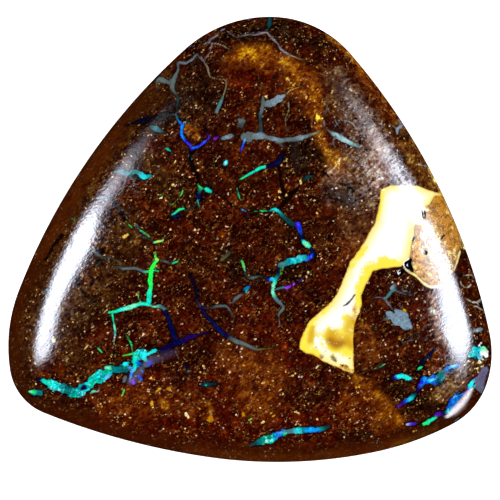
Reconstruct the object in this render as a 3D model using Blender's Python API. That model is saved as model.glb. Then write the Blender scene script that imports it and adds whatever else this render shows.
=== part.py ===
"""Polished boulder opal: one free-form stone with a domed face and a flat back.

The stone lies on its back. +Z is up through the dome, +X runs along its straight base and +Y
points from the base to the rounded crown. The origin is on the back, under the middle of the
stone's outline. Sizes are in millimetres and become metres where the mesh is made.
"""

from math import atan2, ceil, cos, hypot, pi, radians, sin, sqrt

import bmesh
import bpy

MM = 0.001

# The girdle is the widest outline of the stone. It is walked clockwise from the top of the crown
# as arcs that run smoothly into each other: the stretch, its radius, and its turn in degrees.
GIRDLE_ARCS = (
    ("crown, right side", 6.6, 49),
    ("right flank", 38.7, 29),
    ("right shoulder", 6.0, 30),
    ("lower right corner", 4.4, 44),
    ("base, rising to the right", 18.1, 16),
    ("base, middle", 29.6, 20),
    ("base, left part", 44.0, 14),
    ("lower left corner", 3.4, 59),
    ("left shoulder", 9.5, 30),
)
# The last two arcs have the radii that bring the outline back to where it began.
CLOSING_ARCS = (("left flank", 27), ("crown, left side", 42))
GIRDLE_STEP = 0.76          # longest spacing of points along the girdle

GIRDLE_HEIGHT = 2.0         # from the back up to the widest outline
GIRDLE_RISE = 0.02          # climb of the girdle per millimetre towards the crown
DOME_HEIGHT = 3.5           # from the girdle up to the top of the dome
DOME_CENTRE = (-0.2, -1.7)  # plan position of the top of the dome
DOME_RINGS = 18

BACK_INSET = 1.3            # how far the flat back stays inside the girdle
EDGE_POWER = 2.4            # 2 rounds the back edge as an ellipse, more makes it squarer
EDGE_RINGS = 7

GRINDING_WAVE = 0.035       # height of the soft waves left on the dome by hand grinding
WAVE_LENGTHS = (9.0, 7.0)   # their lengths along X and Y

STONE_COLOUR = (0.16, 0.055, 0.012, 1.0)   # brown ironstone
STONE_ROUGHNESS = 0.08                     # polished


def clear_scene():
    for thing in list(bpy.data.objects):
        bpy.data.objects.remove(thing, do_unlink=True)


def closed_arcs():
    """All arcs as (radius, heading where it starts, heading where it ends), in radians."""
    arcs = []
    heading = 0.0
    gap_x = 0.0
    gap_y = 0.0
    for _, radius, turn in GIRDLE_ARCS:
        end = heading + radians(turn)
        arcs.append((radius, heading, end))
        gap_x += radius * (sin(end) - sin(heading))
        gap_y += radius * (cos(end) - cos(heading))
        heading = end

    middle = heading + radians(CLOSING_ARCS[0][1])
    last = middle + radians(CLOSING_ARCS[1][1])
    ax, ay = sin(middle) - sin(heading), cos(middle) - cos(heading)
    bx, by = sin(last) - sin(middle), cos(last) - cos(middle)
    scale = ax * by - bx * ay
    first_radius = (bx * gap_y - by * gap_x) / scale
    second_radius = (ay * gap_x - ax * gap_y) / scale
    arcs.append((first_radius, heading, middle))
    arcs.append((second_radius, middle, last))
    return arcs


def girdle_points():
    """Points of the girdle with their outward directions, centred on the origin in plan."""
    points = []
    x = y = 0.0
    for radius, start, end in closed_arcs():
        count = ceil(radius * (end - start) / GIRDLE_STEP)
        for index in range(count):
            heading = start + (end - start) * index / count
            px = x + radius * (sin(heading) - sin(start))
            py = y + radius * (cos(heading) - cos(start))
            points.append((px, py, sin(heading), cos(heading)))
        x += radius * (sin(end) - sin(start))
        y += radius * (cos(end) - cos(start))

    middle_x = (min(p[0] for p in points) + max(p[0] for p in points)) / 2
    middle_y = (min(p[1] for p in points) + max(p[1] for p in points)) / 2
    return [(px - middle_x, py - middle_y, nx, ny) for px, py, nx, ny in points]


def mean_radius(points):
    """Radius of the circle that covers as much ground as the outline does."""
    twice_area = 0.0
    for (x0, y0, _, _), (x1, y1, _, _) in zip(points, points[1:] + points[:1]):
        twice_area += x0 * y1 - x1 * y0
    return sqrt(abs(twice_area) / 2 / pi)


def girdle_height(y):
    return GIRDLE_HEIGHT + GIRDLE_RISE * y


def edge_ring(points, angle):
    """A ring of the rounded lower edge: angle 0 is the girdle, a right angle is the back."""
    inset = BACK_INSET * (1 - max(cos(angle), 0.0) ** (2 / EDGE_POWER))
    drop = sin(angle) ** (2 / EDGE_POWER)
    ring = []
    for x, y, nx, ny in points:
        height = girdle_height(y) * (1 - drop)
        ring.append((x - nx * inset, y - ny * inset, height))
    return ring


def dome_ring(points, angle, circle):
    """A ring of the dome: angle 0 is the girdle, a right angle is the top.

    The rings shrink to the top of the dome as an ellipse does, and round off to circles.
    """
    centre_x, centre_y = DOME_CENTRE
    share = cos(angle)
    roundness = (1 - share) ** 2
    ring = []
    for x, y, _, _ in points:
        reach_x = x - centre_x
        reach_y = y - centre_y
        direction = atan2(reach_y, reach_x)
        reach = hypot(reach_x, reach_y) * (1 - roundness) + circle * roundness
        px = centre_x + share * reach * cos(direction)
        py = centre_y + share * reach * sin(direction)
        base = girdle_height(centre_y + share * reach_y)
        wave = cos(2 * pi * px / WAVE_LENGTHS[0]) * cos(2 * pi * py / WAVE_LENGTHS[1])
        lift = GRINDING_WAVE * wave * sin(angle) ** 2
        ring.append((px, py, base + DOME_HEIGHT * sin(angle) + lift))
    return ring


def make_stone_material():
    material = bpy.data.materials.new("boulder_opal")
    material.use_nodes = True
    shader = material.node_tree.nodes["Principled BSDF"]
    shader.inputs["Base Color"].default_value = STONE_COLOUR
    shader.inputs["Roughness"].default_value = STONE_ROUGHNESS
    shader.inputs["Metallic"].default_value = 0.0
    material.diffuse_color = STONE_COLOUR
    return material


def make_stone():
    points = girdle_points()
    circle = mean_radius(points)
    quarter = pi / 2

    rings = []
    for step in range(EDGE_RINGS, 0, -1):
        rings.append(edge_ring(points, quarter * step / EDGE_RINGS))
    for step in range(DOME_RINGS):
        rings.append(dome_ring(points, quarter * step / DOME_RINGS, circle))
    top = dome_ring(points, quarter, circle)[0]

    bm = bmesh.new()
    loops = [[bm.verts.new((x * MM, y * MM, z * MM)) for x, y, z in ring] for ring in rings]
    apex = bm.verts.new((top[0] * MM, top[1] * MM, top[2] * MM))

    bm.faces.new(loops[0])
    for lower, upper in zip(loops, loops[1:]):
        for index in range(len(lower)):
            after = (index + 1) % len(lower)
            bm.faces.new((lower[index], upper[index], upper[after], lower[after]))
    crown = loops[-1]
    for index in range(len(crown)):
        bm.faces.new((crown[index], apex, crown[(index + 1) % len(crown)]))
    bmesh.ops.recalc_face_normals(bm, faces=bm.faces)

    mesh = bpy.data.meshes.new("boulder_opal")
    bm.to_mesh(mesh)
    bm.free()
    mesh.shade_smooth()
    mesh.materials.append(make_stone_material())
    stone = bpy.data.objects.new("boulder_opal", mesh)
    bpy.context.scene.collection.objects.link(stone)
    return stone


clear_scene()
make_stone()
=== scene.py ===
import math

import bpy
import numpy as np
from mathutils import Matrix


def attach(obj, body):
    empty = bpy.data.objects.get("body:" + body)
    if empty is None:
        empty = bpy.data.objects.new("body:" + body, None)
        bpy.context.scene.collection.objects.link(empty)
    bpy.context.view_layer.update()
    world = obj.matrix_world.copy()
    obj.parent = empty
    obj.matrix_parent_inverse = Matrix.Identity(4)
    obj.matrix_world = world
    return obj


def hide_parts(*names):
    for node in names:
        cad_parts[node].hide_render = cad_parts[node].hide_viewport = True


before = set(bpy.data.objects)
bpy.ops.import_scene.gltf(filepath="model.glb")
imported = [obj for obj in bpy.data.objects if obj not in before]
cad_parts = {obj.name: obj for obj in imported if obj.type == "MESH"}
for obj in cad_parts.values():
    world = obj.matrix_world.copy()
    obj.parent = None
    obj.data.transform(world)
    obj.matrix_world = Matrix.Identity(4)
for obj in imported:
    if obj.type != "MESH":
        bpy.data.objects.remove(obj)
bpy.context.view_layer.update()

# A polished boulder opal lying on a pale floor, seen from straight above.
# Sizes and places are in millimetres from the stone's own origin, and become metres in the mesh.
# Colours are red, green and blue from 0 to 255, as a screen shows them.
mm = 0.001


def linearColour(screenColour):
    # Screen numbers to amounts of light: a straight part near black, then a power of 2.4.
    shade = np.asarray(screenColour, float) / 255
    return np.where(shade <= 0.04045, shade / 12.92, ((shade + 0.055) / 1.055) ** 2.4)


# ---- the stone's form

stoneForm = {
    # Arcs of the widest outline, clockwise from the top of the crown: radius, and turn in degrees.
    "girdleArcs": ((6.6, 49), (38.7, 29), (6.0, 30), (4.4, 44), (18.1, 16),
                   (29.6, 20), (44.0, 14), (3.4, 59), (9.5, 30)),
    "closingTurns": (27, 42),       # the last two arcs, whose radii close the loop
    "girdleHeight": 2.0,            # from the back up to the widest outline
    "girdleRise": 0.02,             # climb of the girdle per millimetre towards the crown
    "domeHeight": 3.5,
    "domeCentre": (-0.2, -1.7),
    "backInset": 1.3,               # how far the flat back stays inside the girdle
    "edgePower": 2.4,               # 2 rounds the back edge as an ellipse, more makes it squarer
    "grindingWave": 0.035,
    "waveLengths": (9.0, 7.0),
    "frontGrid": 274,               # points along a side of the dome's grid
    "frontShare": 0.97,             # part of the dome's radius that the grid covers
    "lipRings": 4,                  # from the grid out to the girdle
    "edgeRings": 7,                 # from the girdle down to the back
    "backGrid": 92,                 # a third as many steps as the dome's grid, so that they stitch
    "backShare": 0.985,
    "polishRelief": 0.0012,         # unevenness left by polishing hard and soft patches
    "polishSizes": (0.3, 0.7),      # and the sizes of its bumps
    "pitDepth": 0.1,
    "pitSlope": 0.12,               # how far inside a pit's edge it gets deep
    "pitLip": 0.1,                  # the share of that slope that stays flat at the edge
    "sawRelief": 0.012,             # depth of the marks on the sawn back
    "sawWaves": (5.1, 1.7),         # how fast they come and go along X and Y, in radians per millimetre
    "sawSize": 0.9,                 # the size of the patches that break them up
    "sawFade": 12,                  # they fade out over one such part of the back's radius
    "farFromRim": 9,                # distance to the rim that the whole back is given
}


def girdleOutline(form):
    # Points a twentieth of a millimetre apart along arcs that run smoothly into each other.
    # With the heading h, a point moves by R (sin h2 - sin h1, cos h2 - cos h1) and faces (sin h, cos h).
    radii = np.array([radius for radius, turn in form["girdleArcs"]])
    turns = [turn for radius, turn in form["girdleArcs"]] + list(form["closingTurns"])
    headings = np.radians(np.concatenate(([0], np.cumsum(turns))))
    moveX = np.diff(np.sin(headings))
    moveY = np.diff(np.cos(headings))
    gap = -np.array([moveX[:-2] @ radii, moveY[:-2] @ radii])
    closing = np.linalg.solve([moveX[-2:], moveY[-2:]], gap)
    radii = np.concatenate((radii, closing))
    startX = np.concatenate(([0], np.cumsum(radii * moveX)))
    startY = np.concatenate(([0], np.cumsum(radii * moveY)))
    x, y, heading = [], [], []
    for arc, radius in enumerate(radii):
        count = int(radius * (headings[arc + 1] - headings[arc]) / 0.05)
        along = np.linspace(headings[arc], headings[arc + 1], count, endpoint=False)
        x.append(startX[arc] + radius * (np.sin(along) - np.sin(headings[arc])))
        y.append(startY[arc] + radius * (np.cos(along) - np.cos(headings[arc])))
        heading.append(along)
    x, y, heading = np.concatenate(x), np.concatenate(y), np.concatenate(heading)
    x -= (x.min() + x.max()) / 2
    y -= (y.min() + y.max()) / 2
    area = abs(np.sum(x * np.roll(y, 1) - y * np.roll(x, 1))) / 2
    centreX, centreY = form["domeCentre"]
    return {
        "direction": np.arctan2(y - centreY, x - centreX),
        "reach": np.hypot(x - centreX, y - centreY),
        "faceX": np.sin(heading),
        "faceY": np.cos(heading),
        "circle": math.sqrt(area / math.pi),
    }


def girdleValue(girdle, name, direction):
    return np.interp(direction, girdle["direction"], girdle[name], period=2 * math.pi)


def discGrid(count):
    # A square grid laid on a disc with equal areas: squares round the middle become circles.
    line = np.linspace(-1, 1, count)
    u, v = np.meshgrid(line, line, indexing="ij")
    wide = np.abs(u) >= np.abs(v)
    share = np.where(wide, np.abs(u), np.abs(v))
    across = np.where(u > 0, 0, math.pi) + v / u * math.pi / 4
    upright = np.where(v > 0, 0.5, 1.5) * math.pi - u / v * math.pi / 4
    return share.ravel(), np.where(wide, across, upright).ravel()


def gridFaces(count):
    index = np.arange(count * count).reshape(count, count)
    corners = (index[:-1, :-1], index[1:, :-1], index[1:, 1:], index[:-1, 1:])
    border = (index[:-1, 0], index[-1, :-1], index[:0:-1, -1], index[0, :0:-1])
    return np.stack(corners, axis=-1).reshape(-1, 4), np.concatenate(border)


def domeSurface(form, girdle, share, direction):
    # At each share of the radius, cos a, the girdle's outline shrinks by that share and rises by
    # the dome's height times sin a. It rounds off to a circle by (1 - share) squared, and soft
    # waves, cos x times cos y times sin a squared, lie over it.
    centreX, centreY = form["domeCentre"]
    rise = np.sqrt(1 - share ** 2)
    roundness = (1 - share) ** 2
    rim = girdleValue(girdle, "reach", direction)
    reach = share * (rim * (1 - roundness) + girdle["circle"] * roundness)
    x = centreX + reach * np.cos(direction)
    y = centreY + reach * np.sin(direction)
    base = form["girdleHeight"] + form["girdleRise"] * (centreY + share * rim * np.sin(direction))
    waveX, waveY = form["waveLengths"]
    wave = np.cos(2 * math.pi * x / waveX) * np.cos(2 * math.pi * y / waveY) * rise ** 2
    z = base + form["domeHeight"] * rise + form["grindingWave"] * wave
    return np.stack((x, y, z), axis=-1)


def edgeSurface(form, girdle, angle, direction):
    # Below the girdle the wall turns in to the back as a squarish quarter ellipse: the inset is
    # 1 - cos a to the power 2 / p, and the height 1 - sin a to the same power.
    centreX, centreY = form["domeCentre"]
    power = 2 / form["edgePower"]
    inset = form["backInset"] * (1 - max(math.cos(angle), 0) ** power)
    reach = girdleValue(girdle, "reach", direction)
    x = centreX + reach * np.cos(direction)
    y = centreY + reach * np.sin(direction)
    height = form["girdleHeight"] + form["girdleRise"] * y
    x = x - inset * girdleValue(girdle, "faceX", direction)
    y = y - inset * girdleValue(girdle, "faceY", direction)
    return np.stack((x, y, height * (1 - math.sin(angle) ** power)), axis=-1)


def reliefNoise(x, y, size, seed):
    # Random heights on a lattice of squares, joined by smooth steps, from -1 to 1.
    lattice = np.random.default_rng(seed).uniform(-1, 1, (512, 512))
    column, row = np.floor(x / size), np.floor(y / size)
    right, up = x / size - column, y / size - row
    right, up = right ** 2 * (3 - 2 * right), up ** 2 * (3 - 2 * up)
    i, j = column.astype(int) % 511, row.astype(int) % 511
    low = lattice[i, j] * (1 - right) + lattice[i + 1, j] * right
    high = lattice[i, j + 1] * (1 - right) + lattice[i + 1, j + 1] * right
    return low * (1 - up) + high * up


# ---- the markings: seams of opal, the cream patch, clouds of colour, some painted highlights, glints and pits

markingTones = {
    "black": (9, 4, 2), "ink": (6, 4, 34), "navy": (2, 4, 56), "indigo": (17, 3, 78),
    "blue": (16, 40, 225), "azure": (0, 125, 240), "sky": (95, 190, 255), "violet": (100, 25, 175),
    "orchid": (150, 60, 250), "cyan": (20, 226, 232), "aqua": (0, 218, 184), "mint": (120, 245, 190),
    "green": (30, 228, 120), "spring": (28, 250, 70), "leaf": (110, 205, 60), "lime": (190, 225, 90),
    "teal": (0, 122, 124), "sea": (64, 118, 124), "pine": (12, 58, 60), "slate": (84, 97, 97),
    "mist": (118, 138, 150), "smoke": (50, 52, 50), "lilac": (140, 126, 134), "olive": (92, 82, 34),
    "bark": (112, 74, 26), "gold": (214, 150, 34), "straw": (250, 206, 110), "cream": (255, 238, 186),
    "rose": (255, 206, 176), "white": (250, 250, 252), "ochre": (158, 92, 8), "amber": (190, 124, 8),
    "rust": (104, 44, 4), "maroon": (46, 10, 4), "murk": (30, 20, 18), "moss": (74, 58, 12),
    # The third tone on this line is a painted highlight, not a colour of the stone.
    "dusk": (62, 46, 72), "lemon": (250, 232, 70), "milk": (255, 252, 238), "honey": (206, 146, 6),
    "soot": (22, 8, 3), "loam": (40, 20, 6), "umber": (60, 32, 5), "fawn": (80, 50, 28),
    "sienna": (108, 46, 1), "sand": (150, 132, 96), "pearl": (206, 192, 172), "frost": (148, 184, 188),
    "russet": (140, 74, 4), "char": (52, 44, 42), "haze": (96, 92, 124), "steel": (118, 140, 160),
    # The first tone on this line is a painted highlight, not a colour of the stone.
    "blush": (252, 240, 246), "wine": (72, 9, 0), "tawny": (170, 140, 122),
}

# Each seam: its colours, its widths, then the points it runs through. Colours and widths are
# spread evenly over the points. A point given alone is a round spot.
frontSeams = [
    # crown, left of the top
    ("smoke lilac lilac smoke", (.06, .1, .14, .1), (0, 12.6), (-.85, 12.48), (-1.39, 12.87),
     (-1.63, 13.06), (-2.17, 12.52), (-2.52, 12.33), (-2.52, 12.17)),
    ("lilac lilac", (.12, .08), (-2.6, 12.17), (-3.1, 12.02), (-3.6, 11.95), (-4.1, 11.9)),
    ("lilac sand sand", (.12, .12, .08), (-2.62, 12.17), (-2.1, 12.12), (-1.65, 11.98), (-1.3, 11.75),
     (-.95, 11.55)),
    ("lilac lilac", (.1, .08, .12), (-2.35, 12.05), (-2.45, 11.6), (-2.75, 11.16), (-3.05, 11.1)),
    ("slate mist slate lilac sand sand sand", (.2, .16, .13, .12, .1), (-4.49, 10.97), (-3.95, 10.89),
     (-3.56, 11.13), (-3.29, 11.44), (-2.94, 11.13), (-2.63, 10.66), (-2.48, 10.04), (-2.01, 9.89),
     (-1.47, 9.85)),
    ("sand", (.1, .08), (-1.47, 9.85), (-1.47, 9.42), (-1.67, 8.8)),
    ("slate sea slate", (.16, .26, .2), (-1.67, 8.8), (-1.86, 8.34), (-2.09, 7.8)),
    ("sand", (.1, .06), (-2.09, 7.8), (-2.35, 7.8)),
    ("sand smoke", (.1, .06), (-2.09, 7.8), (-1.78, 7.48), (-1.55, 7.17)),
    ("slate slate slate smoke", (.16, .15, .26, .42, .2, .16), (-4.49, 10.97), (-4.42, 10.51),
     (-4.65, 10.04), (-4.88, 9.65), (-4.73, 9.19), (-4.42, 8.8)),
    ("pine black", (.16, .1), (-4.42, 8.8), (-4.49, 8.34), (-4.55, 7.75)),
    ("slate slate smoke", (.22, .34, .16, .08), (-4.88, 9.65), (-5.3, 9.8), (-5.66, 9.96), (-5.81, 9.58),
     (-5.73, 9.11)),
    ("sand", (.07,), (-5.35, 10.12), (-4.9, 10.5), (-4.5, 10.97)),
    ("smoke lilac lilac lilac lilac lilac sand gold", (.08, .12, .16, .14, .16, .14, .18, .12, .06),
     (-.95, 12.5), (-.3, 12.65), (.4, 12.65), (.7, 12.75), (1.05, 12.83), (1.2, 12.6), (1.45, 12.35),
     (1.7, 12.1), (1.9, 11.75), (2.3, 11.45), (2.7, 11.3), (3.1, 11.1), (3.5, 10.9)),
    ("black", (.24,), (.2, 12.9)),
    ("black", (.24,), (.55, 12.9)),
    ("black", (.24,), (1.08, 13.06)),
    # crown, right of the top
    ("pine", (.28, .26), (1.25, 13.78), (1.22, 13.5), (1.18, 13.2)),
    ("smoke sand", (.1, .08), (2.05, 13.2), (2.1, 12.85), (2.35, 12.62), (2.42, 12.48)),
    ("smoke", (.08,), (2.85, 13.4), (3.1, 13.3)),
    ("sand", (.1, .06), (2.35, 8.5), (2.42, 8), (2.2, 7.5), (2.15, 7.2), (2.25, 6.9), (2.22, 6.45)),
    ("slate slate slate pine smoke pine", (.14, .24, .26, .22, .26, .28), (.78, 8.85), (.82, 8.4),
     (.7, 7.9), (.62, 7.5), (.66, 7), (.66, 6.5)),
    ("slate mist mist lilac", (.3, .48, .5, .44, .2, .1), (.95, 8.3), (1.25, 8.42), (1.55, 8.58),
     (1.85, 8.7), (2.1, 8.86), (2.22, 8.93)),
    ("sand gold bark", (.1, .13, .08), (2.22, 8.95), (2.5, 9.22), (2.9, 9.35), (3.3, 9.5)),
    ("bark", (.07,), (.54, 10.27), (.55, 9.6), (.85, 9.2), (1.2, 9.08)),
    ("bark", (.06,), (.75, 9.24), (.4, 9.32), (0, 9.3)),
    ("sand smoke", (.07, .1), (4.7, 8.8), (4.76, 8.3), (4.7, 7.85), (4.5, 7.55)),
    ("sand", (.08, .05), (4.8, 8.1), (5.05, 7.55)),
    ("lilac", (.12, .1), (4.55, 7.3), (4.6, 6.98)),
    ("lilac bark", (.1, .07), (5.2, 7.45), (5.42, 7.05), (5.62, 6.75)),
    ("pearl lilac pearl lilac", (.1, .12, .1), (5.6, 7.38), (6, 7.32), (6.35, 7.16), (6.5, 6.92)),
    # below the crown, left
    ("black ink black black", (.06, .24, .26, .14), (-7.8, 7), (-7, 7.25), (-6.3, 7.42), (-5.6, 7.6),
     (-4.9, 7.8)),
    ("pine slate", (.1, .12), (-5.4, 7.5), (-4.9, 7.65), (-4.5, 7.75)),
    ("pine sea pine", (.2, .36, .16), (-6.2, 7), (-5.85, 6.85), (-5.3, 6.6)),
    ("slate sea teal sea cyan teal", (.24, .3, .34, .3, .36, .2), (-8.35, 4.2), (-8, 4.18), (-7.5, 4.02),
     (-7.1, 4.2), (-6.8, 4.05), (-6.52, 3.85), (-6.12, 3.95)),
    ("pine", (.2, .1), (-7.4, 3.95), (-6.9, 3.68)),
    ("sea aqua aqua", (.1, .14, .1), (-5.35, 5.6), (-5.1, 5.6), (-4.9, 5.45)),
    ("smoke", (.1,), (-6.4, 5.2), (-5.5, 5.4)),
    ("black ink black pine black black", (.08, .14, .2, .14, .2, .14), (-9.7, 2.8), (-9.45, 2.65),
     (-9.3, 2.42), (-8.9, 2.5), (-8.5, 2.35), (-8.2, 2), (-7.95, 1.6), (-7.7, 1.15)),
    ("green", (.08,), (-11.05, 1.3), (-10.8, 1.15)),
    ("green", (.14,), (-5.5, 2.75)),
    ("olive leaf", (.07,), (-5.05, 2.25), (-4.85, 2.1), (-4.65, 2.25)),
    # the blue fork
    ("teal azure azure azure blue violet", (.15, .2, .16, .18), (-4.55, 7.6), (-4.4, 7.3), (-4.2, 7.1),
     (-4.2, 6.85), (-4.25, 6.6), (-4.2, 6.4), (-4.05, 6.15), (-3.85, 5.95), (-3.65, 5.8), (-3.6, 5.65)),
    ("azure cyan", (.1, .08), (-4.2, 7.1), (-3.9, 7.15), (-3.65, 7.2)),
    ("blue blue blue violet indigo", (.2, .14, .1), (-3.6, 5.6), (-3.25, 5.7), (-3, 5.85), (-2.75, 6.05),
     (-2.5, 6.2), (-2.6, 6.5), (-2.75, 6.65)),
    ("cyan", (.14, .08), (-3.75, 5.2), (-3.6, 5)),
    ("black", (.14, .22, .2, .18, .12), (-3.65, 5.5), (-3.7, 5.1), (-3.6, 4.7), (-3.45, 4.2), (-3.2, 3.9),
     (-3.2, 3.4)),
    ("green", (.16, .12), (-3.15, 3.3), (-2.9, 3.1)),
    ("aqua", (.26, .2), (-2.7, 3.1), (-2.4, 2.95)),
    ("teal navy navy", (.14, .3, .26), (-3.05, 3.1), (-3.15, 2.8), (-3.2, 2.5)),
    ("cyan green", (.09, .06), (-3.25, 2.4), (-3.15, 2.1), (-3.05, 1.85)),
    ("aqua green green", (.08, .18, .12), (-4.85, 1.5), (-4.6, 1.65), (-4.35, 1.85), (-4.05, 1.9)),
    ("navy", (.26, .18), (-4.75, 1.35), (-4.3, 1.5)),
    ("smoke", (.12,), (-4, 1.75), (-3.3, 2.1)),
    ("leaf green leaf", (.06, .1, .05), (-4.4, 2.55), (-4.2, 2.8), (-4.1, 3.15)),
    ("cyan", (.26, .24), (-1.52, 4.66), (-1.46, 4.78)),
    ("white", (.12,), (-1.5, 4.74)),
    # the grey seam across
    ("slate mist slate", (.2, .34, .22), (-1.75, 6.22), (-1.4, 6.3), (-1.05, 6.42)),
    ("violet indigo", (.2, .16), (-2.2, 6.2), (-1.95, 6.3)),
    ("slate smoke", (.4, .5), (-.55, 7.3), (-.5, 7.05)),
    ("slate slate mist slate mist slate slate mist slate sand bark",
     (.4, .62, .5, .36, .28, .26, .3, .38, .28, .2, .14, .08), (-.45, 6.35), (0, 6.3), (.5, 6.4),
     (.9, 6.35), (1.4, 6.2), (1.9, 6.1), (2.4, 6.15), (2.9, 6.2), (3.3, 6.3), (3.7, 6.45), (4.1, 6.55),
     (4.5, 6.8)),
    ("black", (.06, .12, .06), (2.2, 5.98), (2.9, 5.98), (3.4, 6.14)),
    ("slate smoke", (.2, .12), (1.6, 6.05), (1.95, 5.8), (2.1, 5.6)),
    ("sky azure blue indigo", (.12, .14, .08), (-.3, 6.2), (-.4, 5.9), (-.5, 5.6), (-.6, 5.3)),
    ("green green aqua aqua aqua", (.05, .12, .18, .2), (-.85, 3.6), (-.5, 3.75), (-.1, 4), (.3, 4.22),
     (.6, 4.4), (.95, 4.5)),
    ("ink navy navy ink black", (.2, .28, .36, .3, .12), (1.05, 4.48), (1.4, 4.6), (1.7, 4.72),
     (1.95, 5.05), (2.1, 5.4)),
    ("aqua green", (.1, .08), (-.8, 3.2), (-.75, 2.9), (-.65, 2.6), (-.55, 2.4)),
    ("black", (.08, .12), (-2.1, 2.9), (-1.7, 2.6), (-1.3, 2.3), (-.9, 2), (-.55, 1.9)),
    ("sky blue", (.12, .08), (-.5, 1.85), (-.2, 1.7)),
    ("pine green ink", (.06, .1, .12), (0, 1.65), (.4, 1.75), (.9, 1.75), (1.2, 1.75)),
    ("black", (.12, .14, .16, .28, .2), (1.75, 4.6), (1.85, 4.2), (1.9, 3.6), (2, 3.2), (2.1, 2.8),
     (2.2, 2.4), (2, 2)),
    ("black", (.32, .22, .12, .08), (2.2, 2.4), (2.6, 2.8), (2.9, 3.05), (3.05, 3.3)),
    ("black pine pine black", (.2, .24, .16, .1), (3.2, 3.5), (3.5, 3.82), (3.8, 3.9), (4.05, 3.95)),
    ("black", (.06, .12, .06), (4.25, 4.2), (4.55, 4.15), (4.9, 3.8)),
    ("black", (.08, .16, .08), (5.5, 3.42), (6.05, 3.32), (6.4, 2.95)),
    ("black", (.06, .12, .05), (4.9, 2.55), (5.5, 2.45), (6, 2.2)),
    ("smoke black", (.08, .16, .08), (2.76, 5.7), (2.8, 5.2), (2.75, 4.8)),
    ("slate slate frost frost frost sea slate", (.08, .14, .26, .34, .34, .3, .2, .12, .05), (4.6, 6.95),
     (4.85, 6.7), (5.15, 6.5), (5.45, 6.36), (5.8, 6.16), (6.1, 6), (6.35, 5.9), (6.7, 5.7), (7, 5.5)),
    ("slate lilac sand", (.16, .12, .08), (5.3, 6.35), (5.1, 6.05), (5.15, 5.85), (5.3, 5.62)),
    ("slate", (.14, .08), (5.5, 6.45), (5.85, 6.62)),
    # down to the blue loop
    ("teal cyan teal pine pine ink", (.1, .22, .2, .3, .36, .3), (1.2, 1.75), (1.5, 1.9), (1.8, 1.7),
     (2, 1.45), (2.3, 1.2), (2.6, .95), (2.9, .85)),
    ("blue blue navy navy", (.28, .3, .24), (2.95, .98), (3.05, .7), (3.15, .3), (3.2, 0)),
    ("aqua mint aqua", (.2, .34, .24), (3.25, -.1), (3.5, -.3), (3.7, -.45)),
    ("navy", (.22, .2), (3.75, -.55), (3.9, -.7), (3.85, -.9), (4, -.95)),
    ("blue blue azure", (.24, .32, .3), (3.8, -1), (3.6, -1.15), (3.4, -1.25)),
    ("teal cyan teal cyan teal sea", (.3, .42, .36, .44, .4, .3), (3.45, -1.1), (3.05, -1.2), (2.9, -1.27),
     (2.7, -1.35), (2.3, -1.4), (1.85, -1.6)),
    ("green leaf", (.1, .06), (2, -1.75), (2, -2), (1.9, -2.15)),
    ("ink navy teal", (.2, .26, .24), (1.8, -1.75), (1.75, -2.1), (1.65, -2.4)),
    ("navy blue", (.16, .22), (1, -2.45), (1.3, -2.45)),
    ("cyan aqua", (.2, .2), (1.4, -2.4), (1.6, -2.65)),
    ("mint mint sea slate slate slate sand", (.2, .24, .26, .24, .2, .12, .08), (1.45, -2.7), (1.4, -3),
     (1.4, -3.3), (1.5, -3.55), (1.7, -3.8), (1.95, -4), (2.1, -4.2), (1.95, -4.4), (1.75, -4.6),
     (1.8, -5.1), (1.85, -5.35)),
    ("sea teal", (.1, .14), (1.65, -3.05), (2.1, -2.94)),
    ("orchid violet", (.18, .22), (2.22, -2.98), (2.44, -2.9)),
    ("orchid", (.2,), (2.68, -2.76)),
    ("indigo violet", (.06, .14, .06), (2.9, -2.68), (3.1, -2.55), (3.25, -2.42)),
    ("green leaf mint", (.14, .18, .1), (-.52, -1.3), (-.4, -1.6), (-.32, -1.95)),
    ("pine smoke slate smoke black", (.1, .2, .12), (-.3, -2.05), (-.1, -2.38), (.2, -2.36), (.5, -2.28),
     (1, -2.25)),
    ("navy teal azure", (.2, .26, .16), (-.45, -3.12), (-.22, -3.06), (-.05, -2.92)),
    ("cyan", (.14,), (-.22, -3.24)),
    ("slate slate smoke", (.16, .26, .14), (-.5, -3.38), (-.7, -3.52), (-.95, -3.72), (-1.1, -3.95)),
    ("smoke slate slate smoke", (.2, .16, .06), (-2.35, -4.2), (-2, -4.1), (-1.5, -4.1), (-1.3, -4.25),
     (-1.1, -4.6), (-1.05, -5)),
    ("lilac", (.06,), (1.1, .05), (1.15, -.3)),
    ("olive smoke", (.18, .24), (-1.8, -1.3), (-1.5, -1.05), (-1.25, -.8)),
    # left side
    ("smoke slate smoke smoke olive", (.15, .22, .16, .14), (-10.1, -.3), (-9.8, -.6), (-9.4, -.9),
     (-9.1, -1.15), (-8.7, -1.1), (-8.3, -1.25), (-7.9, -1.5)),
    ("smoke slate slate slate sea green", (.12, .22, .2, .18, .14), (-8.2, -1.65), (-7.9, -1.8),
     (-7.5, -1.8), (-7.1, -1.75), (-6.8, -1.85), (-6.55, -2), (-6.2, -2)),
    ("olive", (.07,), (-8.6, -1.4), (-8.3, -1.7), (-8.05, -2.35)),
    ("black", (.34,), (-9.15, -.72)),
    ("black", (.4,), (-9.3, -1.4)),
    ("pine black black black", (.1, .14, .12, .08), (-10.95, -2.05), (-10.8, -2.4), (-10.6, -2.85),
     (-10.3, -3.25), (-9.9, -3.65), (-9.5, -3.9)),
    ("olive", (.07,), (-9.8, -3.9), (-9.1, -4.15)),
    ("sea", (.2,), (-12.5, -3.1)),
    ("black", (.14, .1), (-11.6, .3), (-12.1, -.3), (-12.5, -1), (-12.7, -1.3)),
    # the green tree
    ("leaf", (.12,), (-7.65, 1.1)),
    ("leaf green", (.11,), (-7.45, .9), (-7.3, .75)),
    ("sea slate", (.12,), (-7, .95), (-6.8, .55)),
    ("green leaf", (.1, .12), (-6.75, .55), (-6.4, .35), (-6.2, .15)),
    ("navy", (.18,), (-6.6, .33)),
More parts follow.
